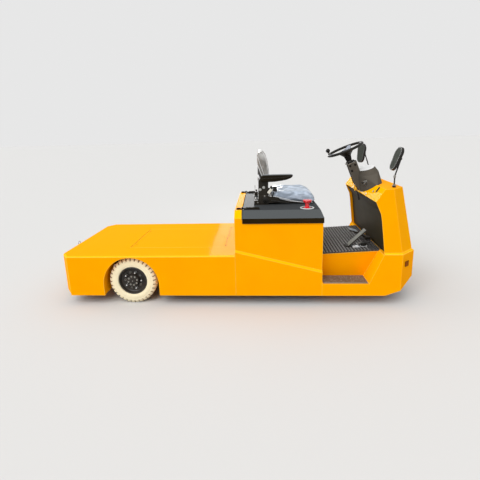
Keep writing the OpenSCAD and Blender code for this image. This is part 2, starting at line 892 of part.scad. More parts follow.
module instrument_pod() {
  color(metal_grey)
    difference() {
      union() {
        hull() {
          translate([fr(2700), 0, 893])
            rotate([0, -facet_a, 0])
              linear_extrude(1)
                polygon(concat([for (p = pod_foot) [p[1] * facet_l, p[0]]],
                               [for (i = [6:-1:1]) [pod_foot[i][1] * facet_l, -pod_foot[i][0]]]));
          translate([0, 0, cowl_top_z])
            linear_extrude(1)
              polygon(concat([for (p = pod_nose) [fr(p[0]), p[1]]],
                             [for (i = [5:-1:0]) [fr(pod_nose[i][0]), -pod_nose[i][1]]]));
          pod_ring(pod_rings[1]);
        }
        hull() {
          pod_ring(pod_rings[1]);
          pod_ring(pod_rings[0]);
        }
      }
      // room for the column
      on_column(0)
        block([-90, -40 - seat_gap, -60], [52 + seat_gap, 40 + seat_gap, 400]);
      // clear of the sloping facet and of the cowl's top
      across(700)
        polygon([[fr(2600), 850], [fr(2699.4), 893], [fr(2767.6), cowl_top_z + seat_gap],
                 [fr(2990), cowl_top_z + seat_gap], [fr(2990), 850]]);
      on_switch()
        cylinder(h = 60, r = 26);
    }
}

module dash_controls() {
  color(dark)
    on_switch()
      translate([0, 0, seat_gap]) {
        cylinder(h = 12, r = 22);
        cylinder(h = 30, r = 15);
      }
}

// height of the mat's ribs at a length x in the model
function mat_top(x) = mat_rear_z - 4.2 + rib_h + (x - mat_x0) * tan(mat_slope) + seat_gap;

module pedals() {
  acc_y = mat_half - 145;
  acc_z = mat_top(fr(2575));
  brake_y = mat_half - 315;
  brake_z = mat_top(fr(2796));
  color(dark) {
    // accelerator plate on its hinge foot
    translate([fr(2559), -acc_y, acc_z + 6.8])
      rotate([0, -44, 0])
        block([0, -34, 0], [203, 34, 8]);
    block([fr(2530), -acc_y - 30, acc_z], [fr(2575), -acc_y + 30, acc_z + 9.8]);
    // brake pad on its arm
    translate([fr(2596), -brake_y, 545])
      rotate([0, 16, 0])
        block([0, -42, 0], [82, 42, 10]);
    translate([fr(2640), -brake_y, 534])
      rotate([0, 118, 0])
        block([-8, -10, 0], [8, 10, 150]);
    block([fr(2750), -brake_y - 22, brake_z], [fr(2796), -brake_y + 22, brake_z + 24]);
  }
}

// mirrors on the cowl's top corners: side, foot from the rear panel, lean of the arm, turn and tilt of the head,
// distance of the head from its arm
mirrors = [[-1, 2868, 16, 3, 20, 41], [1, 2908, -19, 19.5, 6, 47]];
arm_len = 142;

module mirror_place(m) {
  translate([fr(m[1]), m[0] * (half_w - 130), cowl_top_z])
    children();
}

// middle of a mirror's head
module head_place(m) {
  translate([arm_len * sin(m[2]), 0, 95 + arm_len * cos(m[2])])
    rotate([0, 0, m[3]])
      translate([-m[5], 0, 0])
        rotate([0, m[4], 0])
          children();
}

// oval of two circles, the larger one above, as a plate of thickness t
module mirror_head(t, r0, r1) {
  d = asin((r0 - r1) / 84);
  upper = [for (i = [0:1:12]) let (a = d + i * (180 - 2 * d) / 12) [r0 * cos(a), 42 + r0 * sin(a)]];
  lower = [for (i = [0:1:12]) let (a = 180 - d + i * (180 + 2 * d) / 12) [r1 * cos(a), -42 + r1 * sin(a)]];
  rotate([90, 0, 90])
    linear_extrude(t)
      polygon(concat(upper, lower));
}

module mirror_shells() {
  color(dark)
    for (m = mirrors)
      mirror_place(m) {
        translate([0, 0, seat_gap])
          cylinder(h = 14, r = 14);
        translate([0, 0, 8])
          cylinder(h = 87, r = 5.5);
        translate([0, 0, 95])
          sphere(r = 8);
        translate([0, 0, 95])
          rotate([0, m[2], 0])
            cylinder(h = arm_len, r = 5.5);
        translate([arm_len * sin(m[2]), 0, 95 + arm_len * cos(m[2])])
          rotate([0, 0, m[3]]) {
            sphere(r = 10);
            rotate([0, -90, 0])
              cylinder(h = m[5] - 4, r = 8);
          }
        head_place(m)
          difference() {
            translate([-6, 0, 0])
              mirror_head(22, 60, 52);
            translate([-10, 0, 0])
              mirror_head(10, 54, 46);
          }
      }
}

module mirror_glasses() {
  color([0.75, 0.8, 0.85])
    for (m = mirrors)
      mirror_place(m)
        head_place(m)
          translate([-3.5, 0, 0])
            mirror_head(3.2, 53.7, 45.7);
}

module side_markers() {
  a = atan(front_cy / front_cx);
  color([0.75, 0.25, 0.03])
    for (s = [-1, 1])
      translate([front_x - front_cx / 2, s * (half_w - front_cy / 2), 362])
        rotate([0, 0, -s * a])
          translate([-25, s * (seat_gap + 3), 0])
            cube([52, 6, 42], center = true);
}

// Running gear

module chassis_frame() {
  top = rail_z + rail_h;
  color(dark) {
    difference() {
      union() {
        for (s = [-1, 1])
          block([fr(sheet + seat_gap), s * rail_y - 25, rail_z], [front_x - 36, s * rail_y + 25, top]);
        for (x = [30, rear_wheel_x + 490, deck_len - 69, deck_len + box_len + 37])
          block([fr(x), -rail_y + 24, rail_z + 10], [fr(x + 50), rail_y - 24, top - 10]);
        // brackets that bear on the walls of the seat box
        for (s = [-1, 1])
          for (x = [box_x0 + sheet + seat_gap, box_x1 - sheet - seat_gap - 12])
            block([x, s * (rail_y + 47) - 24, rail_z + 6], [x + 12, s * (rail_y + 47) + 24, top - 6]);
        // front cross member between the wheel's sweep and the headlamps
        block([front_x - 65, -rail_y + 24, rail_z + 10], [front_x - 36, rail_y - 24, top - 10]);
        // spring pads over the axle
        for (s = [-1, 1])
          block([fr(rear_wheel_x - 45), s * rail_y - 25, tyre_d / 2 + 44 + seat_gap],
                [fr(rear_wheel_x + 45), s * rail_y + 25, rail_z + 1]);
      }
      for (s = [-1, 1])
        block([fr(-5), s * rail_y - 21, rail_z + 4], [fr(3060), s * rail_y + 21, top - 4]);
    }
    // posts under the deck
    for (x = [60, 1520])
      for (s = [-1, 1])
        block([fr(x), s * rail_y - 20, top - eps], [fr(x + 20), s * rail_y + 20, deck_h - deck_t - seat_gap]);
  }
}

module battery_pack() {
  color([0.25, 0.28, 0.33])
    block([box_x0 + 60, -box_half + 95, rail_z + rail_h + seat_gap], [box_x1 - 40, box_half - 95, lid_edge_z - 38]);
}

module drive_axle() {
  color(dark)
    translate([wheel_rx, 0, tyre_d / 2]) {
      difference() {
        union() {
          bar_y(44, -rear_y + tyre_w / 2 + 16, rear_y - tyre_w / 2 - 16);
          bar_y(spindle_r, -rear_y - 30, rear_y + 30);
          bar_y(112, -70, 70);
          for (s = [-1, 1])
            translate([0, s * (rear_y - tyre_w / 2 - 20), 0])
              bar_y(80, -8, 8);
        }
      }
    }
}

module drive_motor() {
  color(metal_grey)
    translate([wheel_rx + 112 + seat_gap, 0, tyre_d / 2 + 6])
      rotate([0, 90, 0])
        cylinder(h = 300, r = 98);
}

module tyre(d, w) {
  r = d / 2;
  h = w / 2;
  ri = rim_d / 2;
  rotate([90, 0, 0])
    rotate_extrude($fn = 64)
      polygon([[ri, -h + 12], [ri + 5, -h + 4], [ri + 16, -h], [r - 34, -h], [r - 16, -h + 5], [r - 3, -h + 14],
               [r, -h + 30], [r, h - 30], [r - 3, h - 14], [r - 16, h - 5], [r - 34, h], [ri + 16, h],
               [ri + 5, h - 4], [ri, h - 12]]);
}

// dished disc wheel; the outer face looks along -Y
module rim(w, stub) {
  h = w / 2;
  ri = rim_d / 2 - seat_gap;
  difference() {
    // flanged rim, dished disc and stepped hub
    rotate([90, 0, 0])
      rotate_extrude($fn = 64)
        polygon([[spindle_r + run_fit, -h + 6], [60, -h + 6], [60, h - 44], [ri - 16, h - 40], [ri - 9, h - 46], [ri - 9, -h + 8],
                 [ri, -h + 8], [ri, h - 9], [ri - 5, h - 6], [ri - 11, h - 8], [ri - 18, h - 26], [ri - 26, h - 32],
                 [64, h - 34], [58, h - 26], [50, h - 12], [42, h - 8], [spindle_r + run_fit, h - 8]]);
    for (i = [0:1:nut_count - 1])
      rotate([0, i * 360 / nut_count + 36, 0])
        translate([nut_pcd / 2, 0, 0])
          rotate([90, 0, 0])
            cylinder(h = 200, r = 9, center = true, $fn = 24);
  }
  for (i = [0:1:nut_count - 1])
    rotate([0, i * 360 / nut_count, 0])
      translate([nut_pcd / 2, 0, 0])
        rotate([90, 0, 0])
          translate([0, 0, h - 35])
            cylinder(h = 19, r = 12, $fn = 6);
}

module rear_tyre_right() {
  color(cream)
    translate([wheel_rx, -rear_y, tyre_d / 2])
      tyre(tyre_d, tyre_w);
}

module rear_rim_right() {
  color(dark)
    translate([wheel_rx, -rear_y, tyre_d / 2])
      rim(tyre_w, 1);
}

module rear_tyre_left() {
  color(cream)
    translate([wheel_rx, rear_y, tyre_d / 2])
      tyre(tyre_d, tyre_w);
}

module rear_rim_left() {
  color(dark)
    translate([wheel_rx, rear_y, tyre_d / 2])
      mirror([0, 1, 0])
        rim(tyre_w, 1);
}

// Front wheel, fork and steering head

front_z = front_tyre_d / 2;
crown_z = front_tyre_d + 10;
module steer_fork() {
  y0 = front_tyre_w / 2 + 10;
  color(metal_grey)
    translate([wheel_fx, 0, 0]) {
      for (s = [-1, 1])
        block([-34, s * (y0 + 6) - 6, front_z - 34], [34, s * (y0 + 6) + 6, crown_z + 12]);
      block([-60, -y0 - 12, crown_z], [60, y0 + 12, crown_z + 12]);
      translate([0, 0, crown_z + 12 - eps])
        cylinder(h = 28, r = 24);
      translate([0, 0, front_z])
        bar_y(spindle_r, -y0 - 12, y0 + 12);
    }
}

module steering_head() {
  z0 = crown_z + 12 + seat_gap;
  color(dark)
    translate([wheel_fx, 0, 0]) {
      difference() {
        union() {
          translate([0, 0, z0])
            cylinder(h = 24, r = 46);
          // bridge between the frame rails
          block([-18, -rail_y - 25, z0 + 12], [45, rail_y + 25, z0 + 24]);
        }
        translate([0, 0, crown_z])
          cylinder(h = 120, r = 24 + run_fit);
      }
      // posts on the rails
      for (s = [-1, 1])
        block([-14, s * rail_y - 20, rail_z + rail_h + seat_gap], [40, s * rail_y + 20, z0 + 12 + eps]);
    }
}

module front_tyre() {
  color(cream)
    translate([wheel_fx, 0, front_z])
      tyre(front_tyre_d, front_tyre_w);
}

module front_rim() {
  color(dark)
    translate([wheel_fx, 0, front_z])
      rim(front_tyre_w, 0);
}

// Tow coupling

module tow_coupling() {
  px = fr(-95);
  color(dark)
    difference() {
      union() {
        block([fr(-8), -85, hitch_z - 85], [fr(-seat_gap), 85, hitch_z + 85]);
        for (z = [-46, 30])
          translate([0, 0, hitch_z + z])
            linear_extrude(16)
              hull() {
                translate([fr(-hitch_out + 44), 0])
                  circle(r = 44);
                translate([fr(-14), -52])
                  square([10, 104]);
              }
        block([fr(-40), -52, hitch_z - 46], [fr(-4), 52, hitch_z + 46]);
      }
      translate([px, 0, hitch_z - 80])
        cylinder(h = 200, r = pin_r + run_fit);
      // room in the jaw's throat
      translate([px, 0, hitch_z - 30])
        cylinder(h = 60, r = 60);
    }
}

module tow_pin() {
  px = fr(-95);
  color(metal_grey) {
    translate([px, 0, hitch_z - 62])
      cylinder(h = 136, r = pin_r);
    translate([px, 0, hitch_z + 46 + seat_gap])
      cylinder(h = 12, r = 20);
    translate([px, 0, hitch_z + 72])
      cylinder(h = 16, r = 17);
  }
}

chassis_frame();
deck_plate();
deck_hatch();
deck_skirts();
rear_panel();
arch_liners();
seat_box();
hinge_leaves();
front_body();
step_treads();
footwell_floor();
floor_mat();
cowl_shell();
kick_panel();
steering_column();
instrument_pod();
dash_controls();
pedals();
mirror_shells();
mirror_glasses();
side_markers();
battery_pack();
drive_axle();
drive_motor();
steering_head();
tow_coupling();
tow_pin();
headlamps();
tail_lamps();
seat_lid();
lid_hinges();
seat_frame();
seat_cushion();
seat_backrest();
stop_button();
stop_ring();
armrest_right();
rear_tyre_right();
rear_rim_right();
rear_tyre_left();
rear_rim_left();
steer_fork();
front_tyre();
front_rim();
steering_wheel();
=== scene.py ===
# %% [markdown]
# Electric tow tractor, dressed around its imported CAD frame
# The CAD model gives every panel, wheel and joint its place, in metres, with +X to the front and +Z up.
# This lesson adds what the eye expects on top of it: paint, rubber, film, bolts, seams and lamps.

import json
import math

import bmesh
import bpy
from mathutils import Matrix, Vector, noise


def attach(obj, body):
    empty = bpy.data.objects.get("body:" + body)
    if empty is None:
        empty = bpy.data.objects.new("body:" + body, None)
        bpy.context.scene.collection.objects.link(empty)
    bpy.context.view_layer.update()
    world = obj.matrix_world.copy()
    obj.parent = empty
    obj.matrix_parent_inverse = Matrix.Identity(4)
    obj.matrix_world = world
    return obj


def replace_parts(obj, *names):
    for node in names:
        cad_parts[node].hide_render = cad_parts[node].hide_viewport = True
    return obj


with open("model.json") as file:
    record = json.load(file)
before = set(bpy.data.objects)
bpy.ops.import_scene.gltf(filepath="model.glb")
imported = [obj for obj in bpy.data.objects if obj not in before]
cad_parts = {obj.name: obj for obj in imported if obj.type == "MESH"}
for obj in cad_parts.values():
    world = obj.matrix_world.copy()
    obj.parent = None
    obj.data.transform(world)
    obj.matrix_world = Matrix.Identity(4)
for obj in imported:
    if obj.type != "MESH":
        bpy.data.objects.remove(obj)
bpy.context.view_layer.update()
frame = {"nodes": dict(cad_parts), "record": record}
nodes = frame["nodes"]

# %% [markdown]
# Camera
# The picture was taken from the driver's right-hand side, a little above the seat, with a longish lens.
# A camera could be placed by eye, but three angles and one place, solved from the bodywork's straight
# edges, put each panel within a pixel. The small shift stands for a picture that was cropped.

# %% Place the camera
PICTURE = 480
FOCAL_PIXELS = 352.37
SHIFT_PIXELS = -26.5
SENSOR = 36
PITCH, YAW, ROLL = (math.radians(a) for a in (12.934, -3.495, 1.485))
CAMERA_PLACE = (0.306, -3.3665, 1.467)
camera_data = bpy.data.cameras.new("camera")
camera_data.sensor_width = SENSOR
camera_data.lens = FOCAL_PIXELS / PICTURE * SENSOR
camera_data.shift_y = SHIFT_PIXELS / PICTURE
camera = bpy.data.objects.new("camera", camera_data)
bpy.context.scene.collection.objects.link(camera)
ahead = Vector((math.sin(YAW) * math.cos(PITCH), math.cos(YAW) * math.cos(PITCH), -math.sin(PITCH)))
level = Vector((math.cos(YAW), -math.sin(YAW), 0))
down = ahead.cross(level)
if down.z > 0:
    down = -down
side = level * math.cos(ROLL) + down * math.sin(ROLL)
under = down * math.cos(ROLL) - level * math.sin(ROLL)
turn = Matrix((side, -under, -ahead)).transposed().to_4x4()
camera.matrix_world = Matrix.Translation(CAMERA_PLACE) @ turn
bpy.context.scene.camera = camera
print("camera lens", round(camera_data.lens, 2))

# %% [markdown]
# Floor and light
# The picture was taken in open shade on a bright day: light comes from the whole sky, a little more of it
# from the camera's side, and a bright patch of sky low behind the tractor is mirrored by the deck and the
# lid. Lamps alone would leave hot spots on the floor, so two wide soft suns and a graded sky give the
# even part, and one tall panel behind gives the mirrored patch. The floor is a pale plane that keeps the
# shadow, and the camera sees a world as pale as the floor.

# %% Build the floor, the sky and the lamps
def plain_mesh(name, points, faces):
    mesh = bpy.data.meshes.new(name)
    mesh.from_pydata([tuple(p) for p in points], [], faces)
    mesh.update()
    piece = bpy.data.objects.new(name, mesh)
    bpy.context.scene.collection.objects.link(piece)
    return piece


def new_material(name):
    material = bpy.data.materials.new(name)
    material.use_nodes = True
    return material, material.node_tree, material.node_tree.nodes["Principled BSDF"]


floor = plain_mesh("floor", [(-60, -60, 0), (60, -60, 0), (60, 60, 0), (-60, 60, 0)], [(0, 1, 2, 3)])
floor_material, tree, shader = new_material("pale_floor")
shader.inputs["Base Color"].default_value = (0.60, 0.595, 0.59, 1)
shader.inputs["Roughness"].default_value = 0.9
shader.inputs["Specular IOR Level"].default_value = 0.1
floor.data.materials.append(floor_material)

world = bpy.data.worlds.new("sky")
world.use_nodes = True
bpy.context.scene.world = world
tree = world.node_tree
sky = tree.nodes["Background"]
where = tree.nodes.new("ShaderNodeTexCoord")
apart = tree.nodes.new("ShaderNodeSeparateXYZ")
grade = tree.nodes.new("ShaderNodeValToRGB")
SKY = [(0.0, (0.15, 0.15, 0.14)), (0.30, (0.48, 0.48, 0.48)), (0.62, (1.10, 1.11, 1.11)),
       (1.0, (1.45, 1.45, 1.42))]
while len(grade.color_ramp.elements) < len(SKY):
    grade.color_ramp.elements.new(0.5)
for element, (height, shade) in zip(grade.color_ramp.elements, SKY):
    element.position = height
    element.color = (*shade, 1)
tree.links.new(where.outputs["Generated"], apart.inputs[0])
tree.links.new(apart.outputs["Z"], grade.inputs[0])
tree.links.new(grade.outputs["Color"], sky.inputs["Color"])
sky.inputs["Strength"].default_value = 0.80
seen = tree.nodes.new("ShaderNodeBackground")
seen.inputs["Color"].default_value = (0.80, 0.80, 0.80, 1)
seen.inputs["Strength"].default_value = 1.0
path = tree.nodes.new("ShaderNodeLightPath")
pick = tree.nodes.new("ShaderNodeMixShader")
mirrored = tree.nodes.new("ShaderNodeMath")
mirrored.operation = "MAXIMUM"
tree.links.new(path.outputs["Is Glossy Ray"], mirrored.inputs[0])
tree.links.new(path.outputs["Is Transmission Ray"], mirrored.inputs[1])
shown = tree.nodes.new("ShaderNodeMath")
shown.operation = "MAXIMUM"
tree.links.new(path.outputs["Is Camera Ray"], shown.inputs[0])
tree.links.new(mirrored.outputs[0], shown.inputs[1])
tree.links.new(shown.outputs[0], pick.inputs["Fac"])
tree.links.new(sky.outputs[0], pick.inputs[1])
tree.links.new(seen.outputs[0], pick.inputs[2])
tree.links.new(pick.outputs[0], tree.nodes["World Output"].inputs["Surface"])


def aim(holder, place, target):
    holder.location = place
    holder.rotation_euler = (Vector(target) - Vector(place)).to_track_quat("-Z", "Y").to_euler()
    bpy.context.scene.collection.objects.link(holder)


sun = bpy.data.lights.new("soft_sun", "SUN")
sun.energy = 1.75
sun.angle = math.radians(50)
aim(bpy.data.objects.new("soft_sun", sun), (-2.5, -5.2, 5.4), (0, 0, 0))
rear_sky = bpy.data.lights.new("rear_sky", "SUN")
rear_sky.energy = 0.62
rear_sky.angle = math.radians(70)
aim(bpy.data.objects.new("rear_sky", rear_sky), (-5.0, -0.6, 3.4), (0, 0, 0))
panel = bpy.data.lights.new("low_sky", "AREA")
panel.shape = "RECTANGLE"
panel.size, panel.size_y = 1.2, 2.2
panel.energy = 115
patch = bpy.data.objects.new("low_sky", panel)
aim(patch, (-0.12, 4.6, 1.85), (-0.05, 0.0, 0.5))
patch.rotation_euler.rotate_axis("Z", math.radians(-22))
patch.visible_diffuse = False
print("sky grades:", len(SKY), "- lamps: 3")

bpy.context.scene.view_settings.view_transform = "Standard"

# %% [markdown]
# Effects that several finishes share
# The finishes share a few effects: grain, dust on top, painted edge highlights and painted sky light.
# Each could be rebuilt in every material, but a group with named sockets is made once and set by numbers.

# %% Node helpers
def wire(tree, source, target):
    tree.links.new(source, target)


def feed(tree, value, socket):
    """sets a socket to a plain value, or wires another socket to it."""
    if isinstance(value, bpy.types.NodeSocket):
        wire(tree, value, socket)
    else:
        socket.default_value = value


def maths(tree, operation, a, b, clamp=False):
    node = tree.nodes.new("ShaderNodeMath")
    node.operation = operation
    node.use_clamp = clamp
    feed(tree, a, node.inputs[0])
    feed(tree, b, node.inputs[1])
    return node.outputs[0]


def own_place(tree):
    """where a point lies on its own piece."""
    return tree.nodes.new("ShaderNodeTexCoord").outputs["Object"]


def surface(tree, kind):
    """which way a point's surface faces."""
    return tree.nodes.new("ShaderNodeNewGeometry").outputs[kind]


def up_part(tree, direction):
    """the upward part of a direction or a place."""
    node = tree.nodes.new("ShaderNodeSeparateXYZ")
    wire(tree, direction, node.inputs[0])
    return node.outputs["Z"]


def stretched(tree, vector, by):
    node = tree.nodes.new("ShaderNodeVectorMath")
    node.operation = "MULTIPLY"
    feed(tree, vector, node.inputs[0])
    feed(tree, by, node.inputs[1])
    return node.outputs[0]


def clouds(tree, vector, scale, detail, distortion=0.0):
    node = tree.nodes.new("ShaderNodeTexNoise")
    node.inputs["Detail"].default_value = detail
    node.inputs["Distortion"].default_value = distortion
    wire(tree, vector, node.inputs["Vector"])
    feed(tree, scale, node.inputs["Scale"])
    return node.outputs["Fac"]


def raise_surface(tree, shader, height, strength, distance):
    """lets a height show as bumps."""
    node = tree.nodes.new("ShaderNodeBump")
    node.inputs["Strength"].default_value = strength
    node.inputs["Distance"].default_value = distance
    wire(tree, height, node.inputs["Height"])
    wire(tree, node.outputs[0], shader.inputs["Normal"])


def start_group(name, inputs, outputs):
    """a group with numbers or directions going in and numbers coming out."""
    group = bpy.data.node_groups.new(name, "ShaderNodeTree")
    for socket, value in inputs.items():
        kind = "NodeSocketVector" if isinstance(value, tuple) else "NodeSocketFloat"
        made = group.interface.new_socket(socket, in_out="INPUT", socket_type=kind)
        made.default_value = value
    for socket in outputs:
        group.interface.new_socket(socket, in_out="OUTPUT", socket_type="NodeSocketFloat")
    return group, group.nodes.new("NodeGroupInput"), group.nodes.new("NodeGroupOutput")


# %% Grain: a height that makes surfaces slightly uneven, and broad patches
grain, enter, leave = start_group("grain", dict(Scale=200.0, Depth=0.3, Stretch=(1, 1, 1)),
                                  ["Height", "Patches"])
drawn_out = stretched(grain, own_place(grain), enter.outputs["Stretch"])
fine = clouds(grain, drawn_out, enter.outputs["Scale"], 3)
wire(grain, maths(grain, "MULTIPLY", fine, enter.outputs["Depth"]), leave.inputs["Height"])
wire(grain, clouds(grain, own_place(grain), 3.5, 4), leave.inputs["Patches"])

# %% Edges: a mask along folds and corners, where finishes paint a highlight
edges, enter, leave = start_group("edges", dict(Width=0.004), ["Mask"])
rounding = edges.nodes.new("ShaderNodeBevel")
rounding.samples = 4
wire(edges, enter.outputs["Width"], rounding.inputs["Radius"])
agree = edges.nodes.new("ShaderNodeVectorMath")
agree.operation = "DOT_PRODUCT"
wire(edges, rounding.outputs[0], agree.inputs[0])
wire(edges, surface(edges, "Normal"), agree.inputs[1])
apart = maths(edges, "SUBTRACT", 1.0, agree.outputs["Value"])
wire(edges, maths(edges, "MULTIPLY", apart, 9.0, clamp=True), leave.inputs["Mask"])

# %% Dust: a mask that lies on what faces up and thickens near the floor
dust, enter, leave = start_group("dust", dict(Amount=0.3, Reach=0.35), ["Mask"])
upward = maths(dust, "MULTIPLY", up_part(dust, surface(dust, "Normal")), 0.35, clamp=True)
low = maths(dust, "DIVIDE", up_part(dust, own_place(dust)), enter.outputs["Reach"])
low = maths(dust, "SUBTRACT", 1.0, low, clamp=True)
both = maths(dust, "MULTIPLY", maths(dust, "ADD", upward, low), clouds(dust, own_place(dust), 14, 5))
wire(dust, maths(dust, "MULTIPLY", both, enter.outputs["Amount"], clamp=True), leave.inputs["Mask"])

# %% Facing up: a mask for faces that look at the sky, where finishes paint in the sky's light and reflection
facing_up, enter, leave = start_group("facing_up", dict(Start=0.4, Gain=2.5), ["Mask"])
tilt = up_part(facing_up, surface(facing_up, "True Normal"))
above = maths(facing_up, "SUBTRACT", tilt, enter.outputs["Start"])
wire(facing_up, maths(facing_up, "MULTIPLY", above, enter.outputs["Gain"], clamp=True),
     leave.inputs["Mask"])

# %% Speckle: a mask of small scattered spots
speckle, enter, leave = start_group("speckle", dict(Scale=200.0, Cover=0.3), ["Mask"])
spot = clouds(speckle, own_place(speckle), enter.outputs["Scale"], 2)
limit = maths(speckle, "SUBTRACT", 0.78, maths(speckle, "MULTIPLY", enter.outputs["Cover"], 0.4))
above = maths(speckle, "SUBTRACT", spot, limit)
wire(speckle, maths(speckle, "MULTIPLY", above, 16.0, clamp=True), leave.inputs["Mask"])
print("shared effects:", [g.name for g in (grain, edges, dust, facing_up, speckle)])

# %% [markdown]
# One maker for every finish
# Each finish on the tractor is a base colour that drifts a little, painted highlights on its edges, painted
# sky light on faces turned up, some dust and a grain. A helper places the groups with the finish's own
# values, and leaves the shader's plain sockets plain.

# %% Finish helper
def use_group(tree, group, **values):
    node = tree.nodes.new("ShaderNodeGroup")
    node.node_tree = group
    for name, value in values.items():
        node.inputs[name].default_value = value
    return node


def blend_colours(tree, factor, a, b):
    node = tree.nodes.new("ShaderNodeMix")
    node.data_type = "RGBA"
    wire(tree, factor, node.inputs[0])
    for socket, value in ((node.inputs[6], a), (node.inputs[7], b)):
        feed(tree, (*value, 1) if isinstance(value, tuple) else value, socket)
    return node.outputs[2]


DUST_COLOUR = (0.36, 0.30, 0.23)


def make_finish(name, colour, drift, rough, scale, depth, edge=None, edge_highlight_width=0.004, dusty=0.1,
                metallic=0.0, coat=0.0, bump=0.1, stretch=(1, 1, 1), reach=0.35, specular=0.5,
                coat_ior=1.5, painted_sky=None, painted_sky_start=0.45, painted_top=None, painted_top_start=0.84, specks=None):
    """colour drifts to drift in patches; painted light: edge on folds, painted_sky on faces turned up,
    painted_top on flat tops.
    """
    material, tree, shader = new_material(name)
    grainy = use_group(tree, grain, Scale=scale, Depth=depth, Stretch=stretch)
    patches = maths(tree, "SUBTRACT", grainy.outputs["Patches"], 0.35, clamp=True)
    patches = maths(tree, "MULTIPLY", patches, 2.2, clamp=True)
    shade = blend_colours(tree, patches, colour, drift)
    # painted sky light: faces turned up take the painted_sky colour
    if painted_sky:
        sky_lit = use_group(tree, facing_up, Start=painted_sky_start, Gain=2.6 if painted_sky_start < 0.6 else 6.0)
        shade = blend_colours(tree, sky_lit.outputs["Mask"], shade, painted_sky)
    # painted light on flat tops: they take the painted_top colour
    if painted_top:
        level = use_group(tree, facing_up, Start=painted_top_start, Gain=3.4 / (1.0 - painted_top_start))
        shade = blend_colours(tree, level.outputs["Mask"], shade, painted_top)
    # painted highlight along folds and corners, in the edge colour
    if edge:
        pale_marks = use_group(tree, edges, Width=edge_highlight_width)
        shade = blend_colours(tree, pale_marks.outputs["Mask"], shade, edge)
    if specks:
        fineness, cover, speck_colour = specks
        spots = use_group(tree, speckle, Scale=fineness, Cover=cover)
        shade = blend_colours(tree, spots.outputs["Mask"], shade, speck_colour)
    if dusty:
        dirt = use_group(tree, dust, Amount=dusty, Reach=reach).outputs["Mask"]
        shade = blend_colours(tree, dirt, shade, DUST_COLOUR)
        uneven = maths(tree, "MULTIPLY", dirt, 0.6)
    else:
        uneven = maths(tree, "MULTIPLY", patches, 0.08)
    wire(tree, maths(tree, "ADD", uneven, rough, clamp=True), shader.inputs["Roughness"])
    wire(tree, shade, shader.inputs["Base Color"])
    shader.inputs["Metallic"].default_value = metallic
    shader.inputs["Coat Weight"].default_value = coat
    shader.inputs["Coat Roughness"].default_value = 0.09
    shader.inputs["Coat IOR"].default_value = coat_ior
    shader.inputs["Specular IOR Level"].default_value = specular
    raise_surface(tree, shader, grainy.outputs["Height"], bump, 0.002)
    return material
